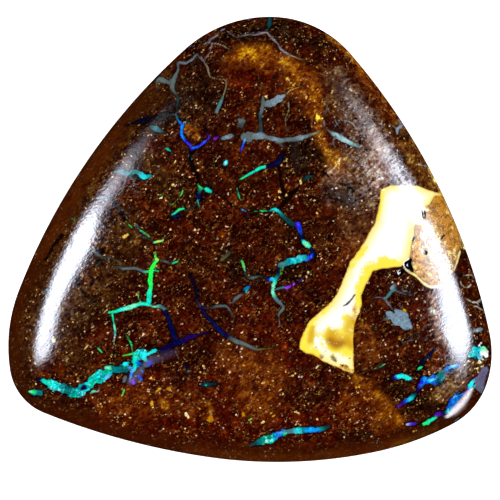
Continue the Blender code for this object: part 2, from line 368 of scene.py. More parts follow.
    ("slate smoke", (.1,), (-6.6, .15), (-6.05, -.05), (-5.95, -.25)),
    ("green lime green", (.1, .18, .1), (-5.95, -.2), (-5.75, -.13), (-5.45, -.1), (-5.3, 0)),
    ("white", (.1,), (-5.78, -.55)),
    ("leaf spring lime", (.08, .14, .22), (-5.82, -.75), (-5.85, -1.1), (-5.7, -1.3)),
    ("spring spring spring green aqua aqua", (.22, .26, .28, .26, .32, .3), (-5.75, -1.3), (-5.95, -1.6),
     (-6.1, -1.85), (-6.15, -2.5), (-6.1, -2.9), (-6.2, -3.3), (-6.22, -3.75), (-6.25, -4)),
    ("green", (.1,), (-5.95, -1.9), (-5.65, -1.95)),
    ("smoke slate smoke", (.16, .14), (-5.45, -1.3), (-5.2, -1.35), (-4.9, -1.5)),
    ("aqua green", (.12, .1), (-4.75, -1.47), (-4.45, -1.35)),
    ("aqua aqua mint aqua green", (.24, .2, .28, .22, .14), (-6.25, -4), (-6.6, -3.95), (-6.9, -4),
     (-7.3, -4.15), (-7.8, -4.3), (-8.3, -4.45), (-8.75, -4.5)),
    ("leaf green", (.1, .08), (-6.75, -3.9), (-6.85, -3.65), (-6.9, -3.3)),
    ("aqua mint sea sea", (.16, .12, .24, .2), (-6.3, -4.05), (-6.1, -4.1), (-5.9, -4.15), (-5.6, -4.1),
     (-5.45, -4.15), (-5.25, -4.3)),
    ("navy navy navy indigo", (.22, .3, .26), (-5.25, -4.4), (-5.1, -4.7), (-4.95, -5.1), (-4.8, -5.6),
     (-4.65, -6), (-4.4, -6.4)),
    ("green aqua mint cyan white lime", (.16, .14, .12, .08), (-8.5, -4.6), (-8.4, -5), (-8.35, -5.3),
     (-8.3, -5.85), (-8.35, -6.05), (-8.4, -6.5)),
    ("olive", (.08,), (-8.15, -5.1), (-8.05, -5.4)),
    ("gold", (.1,), (-7.9, -5.6)),
    ("lime leaf green green leaf", (.1, .12, .13, .1), (-7.75, -5.75), (-7.6, -5.98), (-7.4, -6.25),
     (-7.3, -6.5), (-7.25, -6.9)),
    # middle seams running down to the right
    ("ink ink ink dusk", (.14, .18, .22), (-3.7, -2.1), (-3.6, -2.4), (-3.45, -2.7), (-3.35, -3),
     (-3.25, -3.4), (-3.3, -3.7), (-3.15, -4), (-3, -4.2)),
    ("indigo smoke", (.18, .12), (-3, -4.2), (-2.4, -4.25)),
    ("indigo navy navy indigo navy slate slate slate slate olive olive olive",
     (.16, .24, .26, .26, .3, .26, .18, .12, .08), (-3, -4.3), (-2.7, -4.7), (-2.4, -5), (-2.2, -5.2),
     (-1.9, -5.6), (-1.4, -5.95), (-1.1, -6.15), (-.8, -6.3), (-.4, -6.4), (-.1, -6.55), (.2, -6.7),
     (.45, -6.8), (.8, -6.75), (1.3, -6.7), (1.7, -6.55)),
    ("navy indigo indigo ink", (.34, .38, .2, .1), (-4.4, -6.4), (-4, -6.18), (-3.6, -6), (-3.25, -5.9),
     (-2.4, -5.7)),
    ("lilac bark", (.1, .08), (-4.6, -6.85), (-4.5, -7.15), (-4.35, -7.4)),
    ("black navy", (.12, .16), (-4, -7.6), (-3.9, -7.9)),
    ("sea", (.18,), (-3.8, -8.12)),
    ("ink pine ink", (.16, .3, .1), (-3.15, -8.92), (-2.7, -8.97), (-1.9, -8.85)),
    # lower left band
    ("navy", (.24, .16), (-13.1, -8.68), (-12.9, -8.62)),
    ("aqua aqua cyan cyan teal teal aqua cyan cyan cyan aqua aqua cyan aqua teal teal teal teal",
     (.24, .42, .58, .66, .6, .5, .62, .7, .62, .5, .5, .62, .68, .6, .4, .38, .52, .5), (-12.8, -8.7),
     (-12.5, -8.87), (-12.15, -9), (-11.8, -9.15), (-11.4, -9.25), (-11.1, -9.45), (-10.85, -9.62),
     (-10.6, -9.45), (-10.35, -9.25), (-10.1, -9.05), (-9.8, -8.78), (-9.45, -8.6), (-9.2, -8.45),
     (-8.85, -8.15), (-8.5, -8.02), (-8.2, -8.05), (-7.85, -8), (-7.6, -7.85)),
    ("navy", (.3, .34), (-10.4, -9.2), (-10.18, -9.1)),
    ("sky", (.2,), (-8.85, -8.52), (-8.72, -8.45)),
    ("mint", (.16,), (-8.85, -7.87), (-8.65, -7.93)),
    ("smoke mint smoke", (.08, .18, .08), (-9.95, -9.55), (-9.65, -9.35), (-9.4, -9.42)),
    ("white", (.07,), (-9.33, -9.12), (-9.3, -9.3), (-9.4, -9.42)),
    ("mint green teal teal", (.12, .24, .36, .3), (-13.7, -9.41), (-13.4, -9.44), (-13.15, -9.48),
     (-12.95, -9.5)),
    ("sea", (.08,), (-12.9, -9.37), (-12.5, -9.2)),
    ("navy", (.12,), (-13.55, -9.62), (-13.3, -9.68)),
    ("mint", (.1, .12), (-14.15, -8.98), (-14.08, -9.12)),
    ("leaf green mint", (.08, .11, .12), (-9.57, -6.55), (-9.3, -6.8), (-9.02, -7.04)),
    ("gold straw gold", (.06, .1, .05), (-10.3, -6.9), (-10.08, -6.6), (-9.9, -6.4)),
    ("lime", (.11,), (-8.5, -7.1)),
    ("lime", (.1,), (-8.28, -7.13)),
    ("leaf leaf green", (.08, .12, .13), (-7.9, -7.17), (-7.55, -7.12), (-7.25, -7.05)),
    # the bright knot and its violet foot
    ("aqua aqua cyan cyan", (.3, .5, .6, .56), (-7.15, -7.15), (-6.95, -7.15), (-6.75, -7.12),
     (-6.6, -7.1)),
    ("cyan cyan aqua cyan", (.24, .22, .26, .24), (-6.6, -7.05), (-6.3, -7.1), (-6.02, -6.9),
     (-5.83, -6.82)),
    ("cyan", (.3, .22), (-6.6, -7.2), (-6.45, -7.45)),
    ("aqua aqua cyan", (.3, .24, .16), (-7.1, -7.2), (-7.12, -7.6), (-7.08, -7.95), (-7.2, -8.12)),
    ("cyan", (.24,), (-7.75, -7.68), (-7.58, -7.66)),
    ("black", (.22,), (-7.33, -7.55)),
    ("sky sky azure sky lilac", (.16, .22, .16, .14), (-7.35, -7.88), (-7.28, -8.15), (-7.36, -8.45),
     (-7.42, -8.8)),
    ("orchid", (.26, .3), (-7.24, -8.68), (-7.2, -8.84)),
    ("white", (.12,), (-7.08, -8.44)),
    ("azure navy slate blue indigo", (.3, .34, .34, .26), (-6.95, -7.6), (-6.72, -7.82), (-6.42, -7.75),
     (-6.15, -7.62), (-5.95, -7.5)),
    ("lilac azure", (.16, .12), (-6.76, -8.02), (-6.6, -8.18)),
    ("blue", (.2, .24), (-6.84, -8.42), (-6.72, -8.62)),
    ("slate", (.22, .26), (-7.72, -8.5), (-7.78, -8.75)),
    ("navy navy navy navy", (.3, .42, .4, .3), (-5.45, -6.88), (-5.15, -6.7), (-4.85, -6.5), (-4.6, -6.35)),
    ("green leaf lime", (.12, .12, .09), (-7.76, -9.22), (-7.83, -9.5), (-7.95, -9.7)),
    # along the base
    ("smoke pine teal aqua aqua azure azure sea sea cyan teal azure azure teal pine pine",
     (.14, .3, .42, .56, .6, .48, .4, .36, .34, .4, .34, .3, .34, .32, .26, .12), (-.1, -12.78),
     (.35, -12.6), (.7, -12.47), (1, -12.42), (1.3, -12.32), (1.65, -12.12), (1.95, -11.95),
     (2.25, -11.86), (2.6, -11.85), (2.98, -11.8), (3.25, -11.76), (3.6, -11.75), (4.05, -11.76),
     (4.4, -11.72), (4.65, -11.65), (4.95, -11.53)),
    ("white", (.14,), (1, -12.48)),
    ("blue sky", (.2, .12), (1.74, -12.04), (1.92, -11.92)),
    ("green", (.14,), (2.1, -12.06), (2.2, -12.0)),
    ("leaf lime", (.14, .1), (-.08, -11.17), (.12, -11.05)),
    ("sea", (.14,), (7.85, -12.58)),
    ("olive gold", (.06,), (8.45, -10.95), (8.2, -11.3), (8, -11.5), (7.8, -11.7)),
    ("smoke olive", (.07,), (7.5, -11.9), (7.2, -12.1), (6.8, -12.3)),
    ("gold bark", (.1, .06), (6.65, -8.5), (7, -8.9)),
    # right of the middle
    ("lilac mist sea sea slate", (.08, .1, .2, .22, .12), (7.55, -3.62), (7.9, -3.55), (8.35, -3.65),
     (8.6, -3.35), (8.85, -3.1), (9, -2.75)),
    ("sea mist slate smoke", (.14, .1, .08, .06), (8.9, -3.12), (9.2, -3.25), (9.6, -3.4), (10.05, -3.5)),
    ("smoke slate smoke", (.06,), (9, -3.05), (9.5, -3.15), (10, -3.05), (10.2, -2.9)),
    ("olive", (.09,), (8.35, -3.7), (8.55, -4), (8.72, -4.3)),
    ("steel steel steel steel", (.2, .56, .7, .8, .56, .12), (8.42, -4.5), (8.75, -4.72), (9.05, -4.95),
     (9.35, -5.05), (9.68, -5.2), (10, -5.48)),
    ("steel", (.2, .4, .3), (8.95, -4.38), (9.25, -4.55), (9.68, -4.7)),
    ("slate smoke", (.24, .1), (8.5, -4.85), (8.1, -5.02)),
    ("lilac slate", (.14, .18, .1), (8.35, -3.72), (8.55, -4), (8.8, -4.3)),
    ("lilac smoke", (.12, .1, .06), (9.45, -3.15), (9.75, -3.25), (10.1, -3.48)),
    ("steel slate", (.28, .2, .12), (8.72, -3.02), (8.85, -2.85), (8.95, -2.7)),
    ("olive", (.07,), (7.5, -5.6), (7.9, -5.5)),
    ("smoke lilac smoke", (.1, .1, .07), (9.35, -6.42), (9.65, -6.28), (10, -6.2), (10.15, -6.36)),
    ("smoke", (.08, .06), (10, -6.2), (10.3, -5.9), (10.7, -5.65), (11, -5.4)),
    ("smoke", (.08, .06), (10.3, -6.5), (10.5, -6.1), (10.8, -5.85)),
    ("mint green mint", (.1, .08, .1), (7.66, -8), (7.95, -7.88), (8.34, -7.66)),
    ("ink indigo blue", (.16, .24, .26), (8.7, -8.62), (8.9, -8.52), (9.05, -8.48)),
    ("cyan cyan aqua cyan", (.3, .34, .3, .3), (9.15, -8.47), (9.4, -8.4), (9.62, -8.5), (9.84, -8.6)),
    ("ink navy ink ink", (.14, .26, .2, .12), (11.45, -6.7), (11.1, -7.1), (10.75, -7.5), (10.5, -7.85),
     (10.15, -8.4)),
    ("green", (.16,), (10.4, -7.99), (10.6, -7.87)),
    # lower right strands
    ("azure sky azure sea teal teal navy azure azure azure azure blue navy navy teal cyan blue indigo "
     "violet indigo",
     (.24, .3, .34, .42, .46, .5, .5, .54, .56, .54, .48, .4, .24, .2, .26, .26, .26, .2, .14, .07),
     (12.9, -7.78), (12.55, -7.85), (12.25, -7.98), (12, -8.2), (11.86, -8.4), (11.72, -8.6),
     (11.6, -8.78), (11.4, -8.72), (11.15, -8.66), (10.95, -8.64), (10.75, -8.72), (10.55, -8.95),
     (10.4, -9.22), (10.25, -9.5), (10.08, -9.7), (9.92, -9.86), (9.68, -9.95), (9.42, -10.13),
     (9.18, -10.3), (8.98, -10.4)),
    ("sky cyan", (.22, .2), (11.3, -8.62), (11.12, -8.72)),
    ("navy", (.16,), (12.75, -7.92), (12.35, -8.1)),
    ("haze haze slate", (.3, .6, .66, .3), (14.65, -7.98), (14.35, -8.4), (14.2, -8.9), (14.3, -9.4)),
    ("violet cyan cyan blue", (.16, .3, .34, .16), (13.95, -8.6), (13.75, -8.85), (13.65, -9.05),
     (13.5, -9.3)),
    ("lilac violet azure", (.14, .14, .2), (13.5, -9.35), (13.25, -9.52), (13.15, -9.62)),
    ("sky azure azure blue azure cyan cyan navy indigo violet indigo",
     (.26, .5, .5, .46, .5, .46, .38, .3, .32, .3, .2), (12.7, -9.72), (12.9, -9.74), (12.72, -10),
     (12.42, -10.2), (12.4, -10.36), (12.52, -10.55), (12.35, -10.74), (12.15, -10.82), (11.85, -10.76),
     (11.6, -10.84), (11.4, -10.9)),
    ("green aqua green green", (.2, .24, .3, .24), (11.5, -11.02), (11.25, -11.14), (11, -11.32),
     (10.74, -11.42)),
    ("ink violet blue white", (.14, .2, .2, .12), (10.35, -11.38), (10.12, -11.39), (9.85, -11.42),
     (9.65, -11.45)),
    ("sea", (.12,), (12.95, -11), (12.7, -11.25)),
    ("cyan cyan sky", (.56, .76, .56), (13.74, -7.02), (14.05, -6.98), (14.25, -7.16)),
    ("mint white", (.44, .52), (14.45, -6.82), (14.5, -7.05)),
    ("navy", (.14,), (14.66, -6.8)),
    ("slate mist slate", (.24, .3, .2), (13.78, -5.66), (14.05, -5.6), (14.45, -5.52)),
    # right rim
    ("sand pearl pearl pearl sand lilac", (.1,), (13.77, -2.2), (13.5, -2.17), (13.25, -2.26)),
    ("pearl sand pearl pearl pearl sand", (.1, .12, .08), (13, -2.6), (13.1, -2.85), (13.35, -3),
     (13.6, -2.9), (13.8, -2.6), (13.8, -2.25)),
    ("sand pearl pearl pearl", (.08, .13, .12), (13.3, -3.6), (13.65, -3.84), (13.95, -3.9), (14.3, -3.74)),
    ("sand pearl sand", (.1, .12), (13.8, -4.12), (14.1, -4.16), (14.42, -4.42)),
    ("black", (.28,), (14.2, -3.98), (14.35, -4.05)),
    ("black", (.3,), (13, -2.2)),
    ("mist lilac", (.14, .22), (9.22, 7.45), (9.32, 7.2), (9.5, 7.1)),
    ("lilac mist lilac", (.16, .26, .12), (9.45, 7.1), (9.12, 6.85), (9.1, 6.5)),
    ("lilac", (.14, .1), (8.83, 7.05), (9, 6.85)),
    ("pearl lilac", (.14, .12), (10.4, 4.66), (10.95, 4.5)),
    # the cream patch's own lines and cracks
    ("cream straw cream cream", (.14, .18, .2), (9.5, -1.75), (9.8, -2), (10.2, -2.2), (10.5, -2.5),
     (10.9, -2.85), (11.2, -2.95), (11.6, -2.9), (11.95, -2.82)),
    ("cream straw cream", (.1, .16, .12), (13.16, -.3), (12.97, -.8), (12.85, -1.2), (12.75, -1.55),
     (12.6, -1.95)),
    ("bark black bark", (.04, .08, .04), (5.7, -4.1), (6, -3.98), (6.25, -3.7), (6.48, -3.38)),
]

# Short bright strokes, and round glints as place and width. They lie over the seams.
frontStrokes = [
    ("gold straw gold", (.08, .14, .1), (2.15, 10.3), (2.25, 10), (2.48, 9.72), (2.7, 9.45)),
    ("gold amber", (.08, .12), (2.1, 10.1), (2.3, 9.75), (2.6, 9.5)),
    ("ochre gold ochre", (.06, .1, .06), (4.15, 7.2), (4.1, 6.8), (4.15, 6.45)),
    ("ochre gold gold ochre", (.08, .14, .1), (4.45, 5.95), (4.65, 5.6), (4.85, 5.25), (5.1, 4.95)),
    ("straw", (.16, .12), (3.1, 3.45), (3.15, 3.72)),
    ("straw", (.1,), (-3.18, 6.2), (-3.02, 6.4)),
    ("straw bark", (.12, .08), (5.2, 11.12), (5.3, 11.42)),
    ("rose bark", (.12, .1), (5.3, 3.15), (5.55, 3.35)),
    ("cream straw", (.2, .24, .16), (-3.98, -10.78), (-3.88, -10.9), (-3.78, -11.04)),
    ("amber gold", (.16, .24), (-5.82, -9.42), (-5.58, -9.2)),
    ("gold straw", (.13, .16), (6.4, -11.8), (6.62, -11.7)),
    ("gold", (.1,), (1.36, -10.95), (1.54, -10.83)),
    ("straw", (.12,), (-7.2, -9.97), (-7, -10.05)),
    ("straw", (.12,), (-6.25, -9.38), (-6.05, -9.46)),
    ("straw", (.12,), (2.6, -8.42), (2.8, -8.25)),
    ("rose", (.11,), (3, -8.45), (3.25, -8.46)),
    ("straw", (.13,), (2.85, -10.58), (3, -10.7)),
    ("gold", (.12,), (1.28, -10.7), (1.36, -10.5)),
    ("gold", (.1,), (-10.88, -8.22), (-10.7, -8.35)),
    ("straw", (.1,), (-8.85, -9.08), (-8.6, -8.9)),
    ("straw gold", (.16,), (-7.9, -11.5), (-7.72, -11.35)),
    ("gold", (.1,), (-1.72, .18), (-1.58, .34)),
    ("rose", (.09,), (2.38, -.52), (2.52, -.68)),
    ("gold", (.1,), (.7, -1.76), (.82, -1.64)),
    ("rose", (.1,), (9.1, -2.78), (9.28, -2.5)),
    ("rose", (.07,), (9.45, -2.35), (9.55, -2.6)),
    ("straw", (.09,), (9.6, -3.85), (9.7, -4)),
    ("rose", (.1,), (11.1, -5.7), (11.28, -5.5)),
    ("white", (.12,), (14.18, -6.6), (14.32, -6.4)),
    ("rose", (.12,), (13.13, -8.92), (13.25, -8.7)),
    ("gold", (.11,), (7.15, -9.87), (7.38, -9.83)),
    ("gold", (.13,), (6.55, -9.15), (6.72, -8.98)),
    ("straw", (.1,), (6.87, -6.5), (6.95, -6.28)),
    ("rose", (.09,), (2.8, -11.4), (2.95, -11.22)),
    ("honey straw gold", (.14, .26, .16), (-7.88, .08), (-7.7, .2), (-7.52, .32)),
    ("cream", (.2, .26, .16), (-12.16, -6.02), (-12.1, -6.2), (-12.14, -6.38)),
    ("gold cream gold", (.08, .2, .05), (5.7, 5.15), (5.45, 4.8), (5.1, 4.25)),
    ("gold straw gold", (.08, .14, .05), (4.95, 5.02), (5.4, 4.8), (5.72, 4.3)),
    ("amber straw gold", (.06, .12, .06), (4.75, 4.62), (5.4, 4.72), (5.5, 4.3)),
    ("gold", (.05, .07), (-3.35, -10.15), (-3.12, -10.5), (-2.9, -10.3)),
    # painted highlight: a white speck inside the black pit
    ("white", (.09,), (9.76, -1.66), (9.9, -1.54)),
]

frontGlints = {
    "lemon": ((4.2, 7.5, .36), (4.45, 7.48, .14), (4.15, 7.75, .16)),
    "straw": ((-.5, 8.95, .15), (-.3, 8.8, .12), (1, 8.82, .2), (3.8, 11, .18), (3.8, 11.42, .13),
        (3.48, 8.75, .22), (5.1, 9.2, .16), (5.25, 8.2, .18), (6.55, 9.05, .14), (3.45, 3.12, .16),
        (4.12, 1.62, .16), (1.82, 2.92, .2), (1.78, 2.6, .16), (2.25, 2.7, .18), (2.2, 4.82, .18),
        (1.95, 4.6, .14), (-1.3, -6.4, .24), (1.72, -6.5, .16), (2, -9.55, .17), (4.15, -11.1, .18),
        (6.15, -11.15, .18), (-6.1, -8.57, .22), (-3.7, -9.6, .18), (-9.97, -8.15, .14),
        (-9.4, -10.3, .17), (-8.35, -11, .16), (-7.4, -11, .15), (-3.05, -8.2, .14), (-3.15, -8.5, .16),
        (-2.85, -7.8, .16), (9.85, -5.9, .16), (8.65, -11, .18), (10.35, -5.3, .17), (14.05, -8, .17),
        (-4.75, 3.37, .18), (4.3, 6.35, .16), (.8, -11.3, .24), (3.85, 9.2, .14), (-6, -10.36, .16),
        (1.4, -8.7, .14), (-2.85, -9.85, .13)),
    "rose": ((6.9, 8.7, .14), (6, 8.65, .12), (7.2, 8.15, .14), (5.95, 10.8, .15), (4.48, 3.25, .16),
        (2.85, 2.68, .16), (3.45, 2.5, .12), (5.8, 2.7, .14), (5.98, 2, .12), (6.45, 1.9, .14),
        (6.9, 2.4, .16), (7.2, 1.85, .16), (-3.6, 9.4, .12), (-3.6, 8.2, .12), (-1.6, 11.3, .12),
        (-4.6, 5.15, .12), (-4, 2.4, .12), (-3.8, 2.3, .13), (-1.9, 2.6, .12), (1.15, 2.65, .16),
        (1.1, 2, .12), (-4.38, -.05, .12), (-3.37, .6, .16), (-3.2, .4, .12), (-1.45, .8, .14),
        (-1.55, -2.55, .14), (-2.85, -2.97, .12), (-4.2, -5.2, .12), (-6.4, -5.5, .12), (2.8, .1, .12),
        (4.4, -1.2, .13), (3.5, -2.3, .11), (-.5, -4.75, .13), (-1.05, -5.5, .12), (3.4, -4.4, .14),
        (3.25, -3.95, .12), (-4.15, -6.7, .16), (-1.25, -8.2, .18), (2.2, -11.18, .16),
        (7.05, -11.45, .14), (8.3, -8.2, .16), (8.35, -6.4, .15), (9.1, -6.6, .14), (10.15, -6.55, .14),
        (.3, -6.15, .18), (-.8, -6.6, .15), (-.5, -6.75, .14), (3.6, -10.15, .13), (-1.95, -9.2, .14),
        (8.8, -2.65, .17), (10.7, -3.12, .14), (10.45, -3.1, .12), (14, -6.1, .15), (-13.4, -3.85, .12),
        (-9.55, -2.3, .17), (-9.5, -1.85, .12), (-7.75, -3.2, .12), (-9.1, -3.75, .12),
        (-8.75, -5.75, .14), (-10.2, -5.65, .12), (-11.6, -7.4, .15), (-8.4, -9.1, .14), (-5.78, 7.15, .1),
        (7.45, 2.85, .14), (7.2, 1.85, .12), (7, 6.3, .12), (6, 10.8, .1), (3.2, 12.6, .1),
        (6.15, 9.25, .12), (11.55, -9.85, .16), (11.75, -9.65, .16), (-3.08, -8.93, .14),
        (14.06, -5.62, .14), (4.9, -8.1, .17), (7.5, -11, .14), (-7.1, -10, .12), (5.8, -12.25, .18)),
    "white": ((5.8, 2.95, .09), (6.14, 2.48, .1)),
    "cream": ((13.8, -7.62, .2), (14.2, -7.6, .26), (13.5, -7.55, .16), (14.45, -7.4, .2),
        (13.2, -7.75, .14), (13.9, -7.95, .16), (14.35, -7.85, .15), (13.55, -8.05, .13),
        (14.1, -8.2, .13), (13, -8.1, .13)),
    "gold": ((9.25, -6.1, .26), (9.6, 5.93, .2), (10.1, 5.2, .13), (9.9, 4.9, .12), (10.25, 4.6, .13),
        (10.45, 4.2, .11), (3.3, 9.9, .2), (4.15, 10.6, .14), (4.7, 10.35, .14), (5.2, 9.85, .12),
        (4, 9.65, .12), (4.5, 8.9, .12), (4, 8.2, .16), (-.95, 8.5, .12), (.3, 7.75, .14),
        (-5.05, -6.1, .18), (-2.25, -3.8, .12), (10.15, -11.85, .2), (11, -7.45, .18), (6.15, -8.55, .2),
        (6.25, -8.8, .15), (-6.08, -10.12, .3), (1.7, -8.75, .14), (1.2, -8.25, .14), (-.4, -7.8, .2)),
    "amber": ((-5.05, -9.2, .34), (-2.45, -11.1, .44), (-5.15, -10.4, .24), (-9.2, -10.32, .22),
        (-.4, -10.8, .3)),
    "aqua": ((-2.72, -8.98, .14), (-6.25, -9.5, .06)),
}

# Small holes, as widths and the points they run through. They are real dents, black inside.
frontPits = [
    ((.2, .26, .2), (10.7, 1.86), (10.74, 1.6), (10.76, 1.36)),
    ((.12, .15), (10.16, .12), (10.05, -.02)),
    ((.16, .26), (10.6, -.62), (10.84, -.84)),
    ((.18, .3, .5, .34, .18), (9.92, -1.2), (9.82, -1.4), (9.7, -1.56), (9.88, -1.74), (10.02, -1.95)),
    ((.26, .34), (9.42, -1.92), (9.28, -2.06)),
    ((.1, .16), (5.56, -7.74), (5.72, -7.77)),
    ((.11, .1), (12, .27), (11.8, .04)),
    ((.1,), (12.18, -.27)),
    ((.11,), (11.7, -1.73)),
    ((.11,), (11.9, -2.45)),
    ((.09,), (11.24, -.39)),
    ((.09,), (11.95, .7)),
    ((.1, .12), (6.1, -7.4), (6.18, -7.32)),
]

# Soft clouds of colour: the tone, its strength, widths, and the points each runs through.
frontClouds = [
    ("sienna", .7, (2.4, 2.8, 2), (5.6, 3.9), (6.9, .2), (6, -1)),
    ("rust", .7, (1.6, 2), (6.9, -5.6), (7.4, -7)),
    ("wine", .7, (2.4, 2.6), (-1.4, 10), (1.4, 9.6)),
    ("wine", .8, (4.6, 6, 5), (-9, -10.4), (0, -10), (6, -11)),
    ("wine", .6, (3, 3), (0, -5), (2, -6.5)),
    ("umber", .7, (2.6, 3, 2.4), (-7.8, 1), (-8, -1), (-10.4, -4.6)),
    ("umber", .6, (2.2, 2.2), (-6.6, 4.6), (-5.2, 3.2)),
    ("umber", .7, (1.6, 2, 2, 1.8, 1.4), (-5.2, 9.8), (-9, 5), (-11.4, 1), (-13, -2.6), (-14.2, -6.4)),
    ("umber", .6, (2.2, 2.6, 2.2), (-12.8, -5), (-11.4, -6.4), (-10.4, -8)),
    ("fawn", .6, (2.4, 2.8, 2.4), (5.4, 9.8), (6.8, 8), (7.6, 5.6)),
    ("fawn", .75, (2, 3, 2.6), (7.3, 5.2), (6.8, 2.8), (6.6, .8)),
    ("sienna", .6, (1.4, 2, 1.8, 1.4), (7, 10.4), (9.2, 7.2), (10.8, 5), (11.6, 3.4)),
    ("rust", .95, (1.3, 1.6, 1.7, 2.1, 2.3, 2.1, 1.3, .8), (-.45, 11.35), (.6, 11.4), (1.6, 11.1),
     (2.6, 10.4), (3.3, 9.6), (3.8, 8.8), (4.1, 8), (4.25, 7.3)),
    ("russet", .9, (1, .9, .7, .7, .9), (4.15, 7.7), (4.15, 6.9), (4.3, 6.2), (4.7, 5.5), (5.2, 5)),
    ("russet", .9, (1.3, 1.4, 1.1, .8, 1.2), (-.9, 11.2), (0, 11.5), (1, 11.4), (2.2, 10.9), (3.4, 10)),
    ("amber", .95, (.8, 1, .8), (-.6, 11.6), (-.1, 11.4), (.5, 11.5)),
    ("russet", .8, (1.2, 1.2, 1), (3.4, 9.9), (4, 9), (4.1, 8)),
    ("bark", .8, (2.2, 2), (5.6, 4.5), (6.3, 4.2)),
    ("ochre", .9, (1.2,), (5.4, 4.7)),
    ("fawn", .8, (1.6, 2, 2.2, 2), (5.3, 9.6), (6.4, 8.2), (7.6, 6.2), (8.4, 4.6)),
    ("ochre", .8, (.3, .4, .3), (4.8, 12.65), (6, 11.6), (7.3, 10.1)),
    ("soot", .75, (1.6, 1.8, 1.6, 1.2), (-1.6, 12.5), (.5, 13), (2.6, 12.8), (4.4, 12)),
    ("soot", .7, (2.4, 2.6, 1.6), (-3.2, 11), (-2.4, 9.6), (-1.9, 8.2)),
    ("soot", .7, (1.4, 1.6), (-6.6, 7.2), (-4.6, 7.7)),
    ("loam", .7, (2, 1.8), (-4.4, 9.4), (-3.2, 8)),
    ("soot", .9, (1.3, 1.6, 1.4), (2.8, 5.8), (2.8, 5.1), (2.9, 4.4)),
    ("soot", .7, (2, 1.8), (3.2, 5.4), (3.9, 5)),
    ("char", .95, (1.5, 1.9, 1.4), (5, 3), (5.7, 2.9), (6.3, 2.4)),
    ("ochre", .95, (.6, .75, .5), (-3.85, 6.9), (-3.6, 6.65), (-3.3, 6.35)),
    ("soot", .8, (1.2, 1.4, 1.1), (2.2, -2.1), (2.7, -2.3), (3.6, -2)),
    ("soot", .75, (1.4, 1.8, 1.6, 1), (-1.5, -.7), (-1.1, -1.5), (-.6, -2.2), (.5, -2.4)),
    ("soot", .6, (1.4, 1.6), (-3.4, 2.2), (-2.6, 3.2)),
    ("sienna", .6, (1.6, 2.2, 1.6), (1.1, -7.7), (1.35, -8.8), (.8, -9.8)),
    ("rust", .6, (3, 3.4, 3), (-.8, -7.4), (.2, -8.4), (.4, -10)),
    ("rust", .5, (1.6, 2, 1.8, 1.4), (-9.4, -10.2), (-7.4, -10.2), (-5, -9.8), (-3, -10.5)),
    ("ochre", .75, (.5, .4), (-2.6, -10.2), (-2.4, -10.6)),
    ("ochre", .7, (.5, .4), (-5.4, -9.9), (-5.2, -10.4)),
    ("sienna", .85, (.6, 1.2, 1.5, 1.7, 1.2), (6.6, -8.6), (7.5, -9.3), (8.1, -9.9), (8.6, -10.5),
     (9.1, -11.3)),
    ("ochre", .85, (.3, .45, .6, .7, .5), (6.5, -8.4), (7.4, -9.2), (8.1, -9.8), (8.6, -10.5),
     (9.3, -11.2)),
    ("sienna", .5, (2.4, 2.2), (6.6, -9.9), (7.8, -10.9)),
    ("rust", .85, (.6, .8, .8, .8, .8), (-4, -13.1), (0, -13.6), (4, -13.6), (8, -13), (10.6, -12.2)),
    ("amber", .5, (.2, .4, .3), (8.8, -12.75), (10.2, -12.3), (11.6, -11.6)),
    ("bark", .9, (.5, 1.2, 1.3, .8), (9.2, 7.2), (10.1, 5.4), (10.5, 4.2), (11.2, 3.3)),
    ("bark", .8, (.5, .6, .5), (11.2, 4), (11.9, 2.8), (12.2, 2.2)),
    # painted reflection: a thin pale line along the right rim, where the edge catches the bright
    # surroundings
    ("straw", .9, (.16, .22, .2, .16), (11.1, 4.4), (12, 2.65), (12.75, 1), (13.35, -.6)),
    ("tawny", .9, (.8, 1.2, 1.5, 1.2), (7.6, 6.6), (7.9, 5.4), (7.8, 4.5), (7.9, 3.5)),
    ("tawny", .5, (.9, 1), (5.1, 4), (5.7, 3.8)),
    ("fawn", .75, (1.4, 2, 2, 1.6), (-10.8, -3.4), (-12.2, -4.8), (-12.9, -6), (-13.2, -7.4)),
    ("tawny", .7, (.6, .8, .8, .6), (11.3, -3.6), (11.45, -4.6), (11.6, -5.4), (11.9, -6.2)),
    ("fawn", .9, (.8, 1, .8), (13.2, -7.8), (13.8, -7.8), (14.4, -7.5)),
    ("loam", .8, (1.4, 1.8, 1.4), (-14.2, -7.4), (-13.9, -8.8), (-13, -10)),
    ("rust", .5, (.8, .8, .8), (-8.4, 6.4), (-11, 2.4), (-13, -1)),
    ("soot", .7, (1.6, 1.4), (-11.5, -10.1), (-10.2, -10.6)),
    ("soot", .8, (1.2, 1.3, 1.1), (5.8, -12.2), (6.6, -12.3), (7.3, -12.1)),
    ("soot", .7, (2, 1.8), (3.3, -9.9), (4.6, -9.4)),
    ("soot", .6, (1.6, 1.4), (-4.4, -8.6), (-3, -7.2)),
    ("soot", .8, (1.6, 1.8, 1.4), (8.7, -9.1), (10.2, -10.4), (11.9, -9.9)),
    ("soot", .7, (1.4, 1), (10.2, -12), (12.2, -11.2)),
    ("sienna", .7, (1.4, 1.3), (11.4, -7.7), (11.7, -7)),
    ("fawn", .9, (1.4, 1.6, 1.4), (12.5, -8.3), (12.9, -8.8), (12.2, -9.3)),
    ("bark", .7, (1, 1.2), (11.6, -9.6), (12.4, -9.2)),
    ("soot", .8, (.5, .4), (9.62, -3.28), (10, -3.24)),
    ("honey", .95, (.5,), (9.42, -4.48)),
    ("soot", .7, (.7, .8, .6), (8.5, 7), (9.2, 6.6), (9.7, 6.3)),
]
